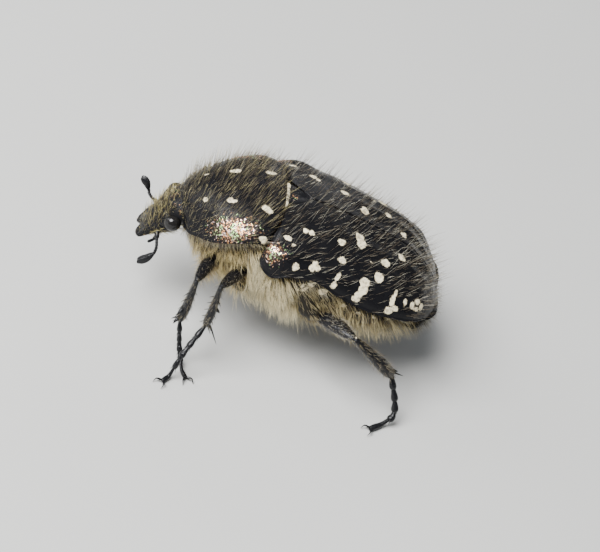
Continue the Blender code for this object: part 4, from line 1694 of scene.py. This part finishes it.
@dataclass
class Leg:
    """One leg: femur, tibia, five-jointed tarsus and claws.

    The shapes give the radius along a joint as shares of its size, and
    tarsus_joints are the ends of the tarsus' joints as shares of its length.
    """

    pair: Pair
    side: Side
    hip: Point
    knee: Point
    ankle: Point
    bow: Point
    toe: Point
    toe_lift: float = 0.7
    femur_shape: Stations = ((0.0, 0.8), (0.14, 0.62), (0.5, 1.0), (0.8, 0.85), (1.0, 0.62))
    tibia_shape: Stations = ((0.0, 0.8), (0.12, 0.68), (0.5, 0.86), (0.88, 1.08), (1.0, 0.95))
    tarsus_shape: Stations = ((0.0, 0.56), (0.3, 0.68), (0.85, 1.0), (1.0, 0.92))
    tarsus_joints: Sequence[float] = (0.0, 0.2, 0.37, 0.54, 0.7, 1.0)
    bristles: Sequence[float] = (0.3, 0.45, 0.62, 0.78, 0.93)
    knee_patch: float = 0.1
    knee_patch_height: float = 0.16
    femur_hairs: int = 520
    tibia_hairs: int = 420
    marked_hairs: float = 0.6
    marked_depth: float = 0.05

    @property
    def label(self) -> str:
        """Ending of the names of this leg's pieces."""
        return f"{self.pair.value}_{self.side.letter}"

    @property
    def sizes(self) -> LegSizes:
        """Sizes of this leg's pair."""
        return LEG_SIZES[self.pair]

    def lines(self) -> tuple[np.ndarray, np.ndarray, np.ndarray]:
        """Work out the middle lines, the last one down to the floor.

        Returns:
            Lines of femur, tibia and tarsus, each as points in rows.
        """
        hip, knee, ankle, bow, toe = map(np.array, (self.hip, self.knee, self.ankle, self.bow, self.toe))
        toe[2] = self.sizes.tarsus * self.toe_lift - HEAD_TIP_HEIGHT
        femur = np.array([hip, (hip + knee) / 2.0 + (0.0, 0.0, 0.06), knee])
        tibia = np.array([knee, knee + (ankle - knee) * 0.62 + (0.0, 0.03, 0.0), ankle])
        sole = toe + (bow - toe) * 0.32
        sole[2] = toe[2]
        return femur, tibia, np.array([ankle, bow, sole, toe])

    def femur(self) -> Limb:
        """Femur, thickest in its outer half, with the trochanter at its root."""
        return Limb(self.lines()[0], scaled(self.femur_shape, self.sizes.femur), 0.72, 0.45)

    def tibia(self) -> Limb:
        """Tibia, slender at the knee and wider to its end."""
        line = self.lines()[1]
        line[0] = line[0] + (line[0] - line[1]) * 0.03
        return Limb(line, scaled(self.tibia_shape, self.sizes.tibia), 0.75, 0.35)

    def tibia_arms(self) -> list[bmesh.types.BMesh]:
        """Make the teeth on the outer edge of the tibia, the two spurs at its end and its bristles.

        Returns:
            A mesh for each of them.
        """
        start, _, end = self.lines()[1]
        down = unit(end - start)
        front = self.pair is Pair.FRONT
        outer = np.array((0.8 * self.side.value, -0.6, 0.0)) if front else np.array((0.0, 0.9, 0.35))
        outer = unit(outer - down * np.dot(outer, down))
        away = np.array(self.bow) - np.array(self.toe)
        away = unit(away - down * np.dot(away, down))
        spread = np.cross(away, down)
        lean = np.array((0.0, 0.4, 0.0)) if self.pair is Pair.MID else away * 0.14
        size = self.sizes.tooth
        arms = []
        for share in self.sizes.teeth:
            root = start + (end - start) * share + outer * 0.05
            arms.append(spike(root, root + outer * size + down * size * 0.5, 0.12, down * -0.04))
        for way in (-1.0, 1.0):
            root = end - down * 0.1 + away * 0.1 + spread * (0.09 * way)
            tip = root + down * self.sizes.spur * (1.0 - 0.14 * way) + lean + spread * (0.1 * way)
            arms.append(spike(root, tip, 0.042))
        for share in self.bristles:
            for way in (-1.0, 1.0):
                root = start + (end - start) * share + spread * (0.12 * way)
                arms.append(spike(root, root + spread * (0.16 * way) + down * 0.16, 0.022))
        return arms

    def tarsus(self) -> list[bmesh.types.BMesh]:
        """Make the joints of the tarsus, each widest at its far end, with two bristles beneath.

        Returns:
            A mesh for each joint and bristle.
        """
        whole = Limb(self.lines()[2], EVEN_WIDTH)
        forms = []
        for start, end in zip(self.tarsus_joints, self.tarsus_joints[1:]):
            line = whole.path(np.array((max(start - 0.02, 0.0), (start + end) / 2.0, end)))
            last = end == self.tarsus_joints[-1]
            wide = self.sizes.tarsus * (0.8 if last else 1.0)
            forms.append(mapped_ball(Limb(line, scaled(self.tarsus_shape, wide), 0.9, 0.2), 12, 18))
            ahead = unit(line[2] - line[1])
            spread = unit(np.cross(ahead, UPWARD) + 0.001)
            for way in (-1.0, 1.0):
                root = line[2] - ahead * 0.05 + spread * (0.05 * way)
                tip = root + ahead * 0.14 + spread * (0.07 * way) + (0.0, 0.0, -0.03)
                forms.append(spike(root, tip, 0.02))
        return forms

    def claws(self) -> list[bmesh.types.BMesh]:
        """Make the two curved claws.

        Returns:
            A mesh for each.
        """
        line = self.lines()[2]
        ahead = line[3] - line[2]
        ahead[2] = 0.0
        ahead = unit(ahead)
        spread = np.array((ahead[1], -ahead[0], 0.0))
        pair = []
        for way in (-1.0, 1.0):
            root = line[3] - ahead * 0.04 + (0.0, 0.0, 0.02)
            tip = root + ahead * 0.3 + spread * (0.2 * way) + (0.0, 0.0, -0.08)
            pair.append(spike(root, tip, 0.05, spread * (0.07 * way) + (0.0, 0.0, 0.09)))
        return pair

    def build(self, finish: bpy.types.Material) -> None:
        """Make the leg's pieces, its foot on the floor.

        Args:
            finish: Material of the surface.
        """
        forms = {
            "femur": ([mapped_ball(self.femur(), 40, 40)], [f"femur_{self.label}"]),
            "tibia": ([mapped_ball(self.tibia(), 32, 40), *self.tibia_arms()], [f"tibia_{self.label}"]),
            "tarsus": (self.tarsus(), [f"tarsus_{self.label}"]),
            "claws": (self.claws(), []),
        }
        for name, (meshes, nodes) in forms.items():
            mesh = joined(meshes)
            for vert in mesh.verts:
                vert.co.z = max(vert.co.z, 0.0)
            item = piece(f"{name}_{self.label}_fine", mesh, finish, nodes)
            away = corners(item) - np.array(self.knee) - (0.0, 0.0, self.knee_patch_height)
            mark(item, self.knee_patch - np.linalg.norm(away, axis=1))

    def roots(self, draw: np.random.Generator, cell: Cell) -> Roots:
        """Find roots for the leg's hairs.

        Args:
            draw: Seeded source of chance.
            cell: Place of the leg in the unwrap of all six.

        Returns:
            Roots on femur and tibia.
        """
        left, bottom, width, height = cell
        share = self.sizes.hair
        found = []
        forms = ((self.femur(), int(self.femur_hairs * share)), (self.tibia(), int(self.tibia_hairs * share)))
        for step, (form, count) in enumerate(forms):
            part = (left, bottom + height * 0.5 * step, width, height * 0.5)
            roots = roots_on(form, count, draw, even(0.8), (), part)
            if self.pair is Pair.HIND and step == 0:
                roots.spot[draw.random(len(roots.spot)) < self.marked_hairs] = self.marked_depth
            found.append(roots)
        return Roots.together(found)


LEG_HAIR = HairStyle(0.24, 0.45, None, 0.006, 0.3, 0.25, 0.4)
FEMUR_FRINGE = HairStyle(0.42, 0.5, (0.0, 0.35, -0.8), 0.006, 0.3, 0.25, 0.4)
LEGS = (
    Leg(
        Pair.FRONT, Side.LEFT, hip=(1.0, 2.85, 0.65), knee=(2.99, 2.2, 0.98), ankle=(2.95, 2.17, -1.05),
        bow=(3.4, 2.5, -2.1), toe=(4.18, 2.9, -2.5),
    ),
    Leg(
        Pair.MID, Side.LEFT, hip=(1.25, 4.1, 0.7), knee=(3.12, 3.05, 1.1), ankle=(3.22, 3.03, -0.75),
        bow=(4.04, 2.51, -1.57), toe=(4.62, 2.07, -2.5),
    ),
    Leg(
        Pair.HIND, Side.LEFT, hip=(1.6, 6.35, -0.1), knee=(3.6, 8.03, 0.75), ankle=(3.22, 9.87, -0.8),
        bow=(3.75, 10.4, -2.1), toe=(4.39, 9.65, -2.5),
    ),
    Leg(
        Pair.FRONT, Side.RIGHT, hip=(-1.0, 2.85, 0.65), knee=(-2.95, 2.1, 0.95), ankle=(-3.0, 1.9, -1.0),
        bow=(-3.3, 2.05, -2.05), toe=(-3.85, 2.4, -2.5),
    ),
    Leg(
        Pair.MID, Side.RIGHT, hip=(-1.25, 4.4, 0.4), knee=(-3.2, 4.2, 1.0), ankle=(-3.4, 4.75, -0.85),
        bow=(-3.85, 5.15, -2.05), toe=(-4.35, 5.5, -2.5),
    ),
    Leg(
        Pair.HIND, Side.RIGHT, hip=(-1.6, 6.35, -0.1), knee=(-3.55, 7.95, 0.75), ankle=(-3.3, 9.7, -0.85),
        bow=(-3.65, 10.15, -2.1), toe=(-4.05, 10.75, -2.5),
    ),
)


def grow_legs(finish: bpy.types.Material, fringe: bpy.types.Material, draw: np.random.Generator) -> None:
    """Grow the close hair of all six legs, and the long fringe behind their femora.

    Args:
        finish: Material of the close hair.
        fringe: Material of the fringe.
        draw: Seeded source of chance.
    """
    found = []
    behind = []
    for number, leg in enumerate(LEGS):
        cell = (number / len(LEGS), 0.0, 0.95 / len(LEGS), 1.0)
        found.append(leg.roots(draw, cell))
        roots = roots_on(leg.femur(), 420, draw, even(0.8), (), cell)
        behind.append(roots.thinned((roots.normals[:, 1] > 0.25) & (roots.normals[:, 2] < 0.5)))
    grow("leg_hair", Roots.together(found), LEG_HAIR, finish, 40)
    grow("femur_fringe", Roots.together(behind), FEMUR_FRINGE, fringe, 42)


# Head
@dataclass
class Head(Surface):
    """Head with its notched clypeus, eyes and palps. Paired lines are given for the left."""

    neck: Point = (0.0, 1.25, 1.56)
    tip: Point = (0.0, 0.07, -0.01)
    half_width: Stations = (
        (0.0, 0.78), (0.25, 0.88), (0.45, 0.78), (0.6, 0.68), (0.8, 0.65), (0.93, 0.67), (1.0, 0.6),
    )
    upper: Stations = ((0.0, 0.34), (0.25, 0.42), (0.5, 0.34), (0.75, 0.22), (1.0, 0.11))
    lower: Stations = ((0.0, 0.34), (0.25, 0.5), (0.5, 0.46), (0.75, 0.26), (1.0, 0.1))
    notch: float = 0.24
    rim: float = 0.075
    ridge: float = 0.05
    palp_line: Sequence[Point] = ((0.26, 0.72, 0.5), (0.4, 0.74, 0.12), (0.36, 0.56, -0.2))
    palp_radius: Stations = ((0.0, 0.06), (0.28, 0.075), (0.33, 0.05), (0.6, 0.08), (0.65, 0.05), (1.0, 0.07))
    cheek_line: Sequence[Point] = ((0.58, 0.66, 1.05), (0.95, 0.82, 1.3), (1.1, 1.02, 1.5))
    cheek_radius: Stations = ((0.0, 0.12), (1.0, 0.05))
    nape_line: Sequence[Point] = ((0.0, 0.85, 1.35), (0.0, 1.6, 1.7), (0.0, 2.4, 1.8))
    nape_radius: Stations = ((0.0, 0.84), (1.0, 0.95))
    eye_centre: Point = (0.87, 1.05, 1.38)
    eye_radius: float = 0.29
    eye_shape: Point = (0.92, 1.05, 1.0)
    eye_gap: float = 0.02
    brow_hair: HairStyle = HairStyle(0.42, 0.5, (0.0, 0.5, 0.85), 0.0078, 0.3, 0.22, 0.4)
    clypeus_hair: HairStyle = HairStyle(0.15, 0.5, (0.0, 0.2, 0.9), 0.005)

    def middle(self, points: np.ndarray) -> np.ndarray:
        """Nearest point of the head's axis."""
        neck, tip = np.array(self.neck), np.array(self.tip)
        axis = tip - neck
        share = np.clip((points - neck) @ axis / (axis @ axis), 0.1, 0.9)
        return neck + share[:, None] * axis

    def at(self, along: np.ndarray, across: np.ndarray) -> np.ndarray:
        """Points of the head: along neck to clypeus, across once round.

        Args:
            along: Shares from neck to clypeus.
            across: Shares of one turn.

        Returns:
            Points in rows.
        """
        neck, tip = np.array(self.neck), np.array(self.tip)
        length = np.linalg.norm(tip - neck)
        axis = (tip - neck) / length
        upward = np.array((0.0, axis[2], -axis[1]))
        turn = across * math.tau
        way = (1.0 - np.cos(math.pi * along)) / 2.0
        round_end = np.maximum(np.sin(math.pi * along), 0.0)
        bluntness = np.where(way > 0.5, 0.28, 0.5)
        side = power(np.cos(turn), 0.9) * curve(self.half_width, way) * round_end**bluntness
        above = np.sin(turn) > 0.0
        depths = np.where(above, curve(self.upper, way), curve(self.lower, way))
        depth = power(np.sin(turn), 0.9) * depths * round_end**0.5
        rim = ramp(np.abs(side), 0.4, 0.58) * ramp(way, 0.55, 0.75) + ramp(way, 0.9, 0.985)
        ridge = bump_at(side, 0.0, 0.14) * bump_at(way, 0.45, 0.2)
        raised = self.rim * np.minimum(rim, 1.0) * np.maximum(np.sin(turn), 0.0) ** 0.5 + self.ridge * ridge
        depth = depth + np.where(above, raised, 0.0)
        reach = length * way - self.notch * bump_at(side, 0.0, 0.17) * ramp(way, 0.8, 0.97)
        return neck + reach[..., None] * axis + side[..., None] * LEFTWARD + depth[..., None] * upward

    def build(self, finish: bpy.types.Material) -> None:
        """Make the head with its palps, the ridge before each eye, and painted highlights of metal flecks on the
        clypeus and the crown.

        Args:
            finish: Material of the surface.
        """
        meshes = [mapped_ball(self, 110, 110)]
        for side in Side:
            palp = Limb(side.mirror(self.palp_line), self.palp_radius, 1.0, 0.3)
            meshes.append(mapped_ball(palp, 12, 30))
            cheek = Limb(side.mirror(self.cheek_line), self.cheek_radius, 0.7, 0.35)
            meshes.append(mapped_ball(cheek, 12, 14))
        meshes.append(mapped_ball(self.nape(), 48, 40))
        item = piece("head_capsule", joined(meshes), finish, ["head"])
        points = corners(item)
        y, z = points[:, 1], points[:, 2]
        # Painted highlights of metal flecks on the clypeus and on the top of the head.
        clypeus = (1.0 - ramp(z, 0.3, 0.8)) * ramp(0.5 + 0.3 * z - y, 0.0, 0.1)
        mark(item, glint=0.08 * clypeus + 0.14 * ramp(z, 1.5, 2.0))

    def nape(self) -> Limb:
        """Back of the head, which runs under the shield."""
        return Limb(self.nape_line, self.nape_radius, 0.66, 0.42, LEFTWARD)

    def build_eyes(self, finish: bpy.types.Material) -> None:
        """Make the two eyes, set in the sides of the head.

        Args:
            finish: Material of the surface.
        """
        for side in Side:
            mesh = bmesh.new()
            bmesh.ops.create_icosphere(mesh, subdivisions=4, radius=1.0)
            ball = np.array([vert.co[:] for vert in mesh.verts]) * self.eye_radius * self.eye_shape
            move(mesh, ball + side.mirror(self.eye_centre))
            piece(f"eye_{side.letter}_lens", mesh, finish, [f"eye_{side.letter}"])

    def grow(self, finish: bpy.types.Material, draw: np.random.Generator) -> None:
        """Grow the golden hair of the brow, the face and round the eyes.

        Args:
            finish: Material of the hair.
            draw: Seeded source of chance.
        """

        def brow(along: np.ndarray, across: np.ndarray) -> np.ndarray:
            """Hair on the brow, thinning out towards the clypeus."""
            return 1.0 - 0.75 * ramp(along, 0.5, 0.66) - 0.25 * ramp(along, 0.68, 0.76)

        def clypeus(along: np.ndarray, across: np.ndarray) -> np.ndarray:
            """Hair on the clypeus, thinner at its rim."""
            return ramp(along, 0.55, 0.65) * (1.0 - 0.6 * ramp(along, 0.85, 0.97))

        def behind(along: np.ndarray, across: np.ndarray) -> np.ndarray:
            """Hair on the front half of the nape."""
            return 1.0 - ramp(along, 0.42, 0.5)

        face = roots_on(self, 950, draw, brow, (), (0.0, 0.0, 0.6, 1.0))
        nape = roots_on(self.nape(), 380, draw, behind, (), (0.6, 0.0, 0.4, 1.0))
        roots = Roots.together([face, nape])
        clear = np.ones(len(roots.points), bool)
        for side in Side:
            away = np.linalg.norm(roots.points - side.mirror(self.eye_centre), axis=1)
            clear &= away > self.eye_radius + self.eye_gap
        grow("head_hair", roots.thinned(clear), self.brow_hair, finish, 30)
        roots = roots_on(self, 260, draw, clypeus)
        grow("clypeus_hair", roots, self.clypeus_hair, finish, 32)


@dataclass
class Antenna:
    """Antenna with a scape, a bead-like stem and a club of three leaves."""

    side: Side
    line: Sequence[Point]
    scape_radius: float = 0.1
    bead_radius: float = 0.06
    beads: int = 6
    club_from: float = 0.58
    club_radius: float = 0.118
    leaves: int = 3
    leaf_gap: float = 0.1

    def stem(self, whole: Limb) -> list[bmesh.types.BMesh]:
        """Make the scape and the beads.

        Args:
            whole: Antenna's middle line as a limb.

        Returns:
            A mesh for each.
        """
        line = whole.path(np.array((0.0, 0.11, 0.22)))
        meshes = [mapped_ball(Limb(line, ((0.0, 0.08), (1.0, self.scape_radius)), 1.0, 0.35), 14, 14)]
        ends = np.linspace(0.2, self.club_from, self.beads + 1)
        for start, end in zip(ends, ends[1:]):
            line = whole.path(np.array((start - 0.01, (start + end) / 2.0, end + 0.01)))
            bead = Limb(line, ((0.0, 0.05), (0.6, self.bead_radius), (1.0, 0.06)), 1.0, 0.4)
            meshes.append(mapped_ball(bead, 12, 10))
        return meshes

    def club(self, whole: Limb) -> list[bmesh.types.BMesh]:
        """Make the leaves of the club, spread from one root.

        Args:
            whole: Antenna's middle line as a limb.

        Returns:
            A mesh for each.
        """
        spine = whole.path(np.array((self.club_from - 0.02, 0.8, 1.0)))
        across = unit(np.cross(spine[2] - spine[0], (0.0, 1.0, 0.4)))
        flat = tuple(np.cross(unit(spine[2] - spine[0]), across))
        wide = self.club_radius
        stations = ((0.0, 0.06), (0.35, wide * 0.85), (0.75, wide), (1.0, wide * 0.6))
        meshes = []
        for leaf in range(self.leaves):
            shift = across * (leaf - (self.leaves - 1) / 2.0) * self.leaf_gap
            line = spine + shift * np.array((0.4, 1.0, 1.15))[:, None]
            meshes.append(mapped_ball(Limb(line, stations, 0.32, 0.4, flat), 18, 20))
        return meshes

    def build(self, finish: bpy.types.Material) -> None:
        """Make the antenna.

        Args:
            finish: Material of the surface.
        """
        whole = Limb(self.line, EVEN_WIDTH)
        mesh = joined([*self.stem(whole), *self.club(whole)])
        letter = self.side.letter
        mark(piece(f"antenna_{letter}_fine", mesh, finish, [f"antenna_{letter}"]))


ANTENNAE = (
    Antenna(
        Side.LEFT,
        ((0.6, 0.67, 0.73), (0.88, 0.73, 0.5), (1.04, 0.8, 0.22), (1.1, 0.78, -0.05), (1.15, 0.31, -0.49)),
    ),
    Antenna(
        Side.RIGHT,
        (
            (-0.6, 0.62, 0.78), (-0.85, 0.42, 0.72), (-0.98, 0.2, 0.85),
            (-1.05, 0.12, 1.08), (-1.2, -0.21, 1.3),
        ),
    ),
)


# Studio
@dataclass(frozen=True)
class Lamp:
    """Soft lamp. Its way is shares of the picture's right, up and backward directions."""

    name: str
    way: Point
    distance: float
    size: float
    watts: float


@dataclass
class Studio:
    """Floor, lights and the camera at the photograph's viewing angle."""

    bearing: float = 12.7
    height: float = 41.0
    roll: float = -23.1
    distance: float = 120.0
    pixels_per_mm: float = 28.3
    frame_pixels: tuple[float, float] = (600.0, 552.0)
    target: Point = (0.0, 5.5, 0.5)
    target_pixel: tuple[float, float] = (288.4, 256.2)
    sensor: float = 36.0
    floor_reach: float = 3000.0
    sky_colour: tuple[float, float, float, float] = (0.86, 0.92, 1.0, 1.0)
    sky_strength: float = 0.22
    lamps: Sequence[Lamp] = (
        Lamp("key", (-0.25, 0.6, 1.0), 160.0, 100.0, 0.92),
        Lamp("panel", (-0.65, 0.7, 0.3), 90.0, 45.0, 0.03),
        Lamp("rim", (0.6, 1.2, -0.6), 200.0, 80.0, 0.05),
        Lamp("low", (-1.0, 0.05, 0.5), 200.0, 100.0, 0.06),
    )

    def axes(self) -> tuple[np.ndarray, np.ndarray, np.ndarray]:
        """Work out the directions of the picture.

        Returns:
            Right, up and backward.
        """
        bearing, height, roll = (math.radians(angle) for angle in (self.bearing, self.height, self.roll))
        level_reach = math.cos(height)
        back = np.array((math.cos(bearing) * level_reach, -math.sin(bearing) * level_reach, math.sin(height)))
        level = unit(np.cross(-back, UPWARD))
        upright = np.cross(level, -back)
        right = level * math.cos(roll) - upright * math.sin(roll)
        upward = level * math.sin(roll) + upright * math.cos(roll)
        return right, upward, back

    def camera(self) -> None:
        """Place the camera so that the target falls on its pixel."""
        right, upward, back = self.axes()
        shift = (
            right * (self.frame_pixels[0] / 2.0 - self.target_pixel[0])
            - upward * (self.frame_pixels[1] / 2.0 - self.target_pixel[1])
        ) / self.pixels_per_mm
        data = bpy.data.cameras.new("camera")
        data.sensor_width = self.sensor
        data.lens = data.sensor_width * self.distance * self.pixels_per_mm / self.frame_pixels[0]
        data.clip_start = 0.001
        item = bpy.data.objects.new("camera", data)
        turn = Matrix((right, upward, back)).transposed().to_4x4()
        turn.translation = Vector(place(np.array(self.target) + shift + back * self.distance))
        item.matrix_world = turn
        bpy.context.scene.collection.objects.link(item)
        bpy.context.scene.camera = item

    def light(self, lamp: Lamp) -> None:
        """Add a lamp that faces the beetle.

        Args:
            lamp: Lamp to add.
        """
        data = bpy.data.lights.new(lamp.name, "AREA")
        data.size = lamp.size * MM
        data.energy = lamp.watts
        item = bpy.data.objects.new(lamp.name, data)
        way = unit(sum(axis * share for axis, share in zip(self.axes(), lamp.way)))
        item.location = Vector(place(np.array(self.target) + way * lamp.distance))
        item.rotation_euler = Vector(-way).to_track_quat("-Z", "Y").to_euler()
        bpy.context.scene.collection.objects.link(item)

    def build(self, floor: bpy.types.Material) -> None:
        """Make the floor, the lamps and the sky, and place the camera.

        Args:
            floor: Material of the floor.
        """
        mesh = bmesh.new()
        bmesh.ops.create_grid(mesh, x_segments=1, y_segments=1, size=self.floor_reach * MM)
        data = bpy.data.meshes.new("floor")
        mesh.to_mesh(data)
        mesh.free()
        data.materials.append(floor)
        item = bpy.data.objects.new("floor", data)
        bpy.context.scene.collection.objects.link(item)
        item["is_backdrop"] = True
        for lamp in self.lamps:
            self.light(lamp)
        world = bpy.data.worlds.new("sky")
        world.use_nodes = True
        sky = world.node_tree.nodes["Background"]
        sky.inputs["Color"].default_value = self.sky_colour
        sky.inputs["Strength"].default_value = self.sky_strength
        bpy.context.scene.world = world
        self.camera()


# Finishes of this beetle
def cuticles() -> dict[str, bpy.types.Material]:
    """Make the cuticle of each part of the body.

    Returns:
        Materials by the name of the part.
    """
    finishes = {
        "pronotum": CuticleFinish("pronotum_cuticle", puncture_spacing=0.08, puncture_depth=0.008),
        "elytra": CuticleFinish("elytra_cuticle"),
        "underside": CuticleFinish("underside_cuticle", deep=(0.014, 0.012, 0.009), roughness=0.4),
        "head": CuticleFinish("head_cuticle", puncture_spacing=0.055, puncture_depth=0.008, roughness=0.3),
        "leg": CuticleFinish(
            "leg_cuticle", roughness=0.16, shine=0.25, puncture_spacing=0.08, puncture_depth=0.012
        ),
        "antenna": CuticleFinish(
            "antenna_cuticle", roughness=0.26, shine=0.3, puncture_spacing=0.05, puncture_depth=0.004
        ),
    }
    return {part: finish.material() for part, finish in finishes.items()}


def coats() -> dict[str, bpy.types.Material]:
    """Make the colours of hair.

    Returns:
        Materials by the name of the colour.
    """
    finishes = {
        "golden": HairFinish("golden_hair", (0.16, 0.13, 0.05), (0.64, 0.56, 0.3), dark_share=0.72),
        "brow": HairFinish("brow_hair", (0.3, 0.23, 0.06), (0.86, 0.74, 0.32), dark_share=0.56),
        "silvery": HairFinish("silvery_hair", (0.12, 0.11, 0.085), (0.58, 0.55, 0.43), dark_share=0.72),
        "cream": HairFinish("cream_hair", (0.52, 0.4, 0.17), (0.92, 0.82, 0.53), dark_share=0.1),
        "tawny": HairFinish("tawny_hair", (0.3, 0.2, 0.07), (0.84, 0.69, 0.33), dark_share=0.26),
        "ochre": HairFinish("ochre_hair", (0.25, 0.18, 0.07), (0.76, 0.64, 0.34), dark_share=0.34),
        "brown": HairFinish("brown_hair", (0.12, 0.09, 0.05), (0.6, 0.52, 0.33), dark_share=0.68),
    }
    return {colour: finish.material() for colour, finish in finishes.items()}


def main() -> None:
    """Build the whole scene."""
    logging.basicConfig(level=logging.INFO, format="%(message)s")
    draw = np.random.default_rng(RANDOM_SEED)
    cuticle = cuticles()
    coat = coats()

    pronotum = Pronotum()
    pronotum.build(cuticle["pronotum"])
    pronotum.grow(coat["golden"], draw)
    Scutellum().build(cuticle["pronotum"])
    for side in Side:
        elytron = Elytron(side)
        elytron.build(cuticle["elytra"])
        elytron.grow(coat["silvery"], draw)
    underside = Underside()
    underside.build(cuticle["underside"])
    underside.grow(coat["tawny"], coat["cream"], coat["ochre"], draw)
    tail = TailPlate()
    tail.build(cuticle["underside"])
    tail.grow(coat["silvery"], draw)
    head = Head()
    head.build(cuticle["head"])
    head.build_eyes(EyeFinish("eye_black").material())
    head.grow(coat["brow"], draw)
    for antenna in ANTENNAE:
        antenna.build(cuticle["antenna"])
    for leg in LEGS:
        leg.build(cuticle["leg"])
    grow_legs(coat["brown"], coat["tawny"], draw)
    Studio().build(FloorFinish("pale_floor").material())
    boxes = {"cad": [list(corner) for corner in CAD_BOX], "visual": [list(corner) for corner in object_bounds()]}
    for name, box in boxes.items():
        LOG.info("%s box in millimetres: %s", name, [[round(c / MM, 2) for c in corner] for corner in box])


if __name__ == "__main__":
    main()
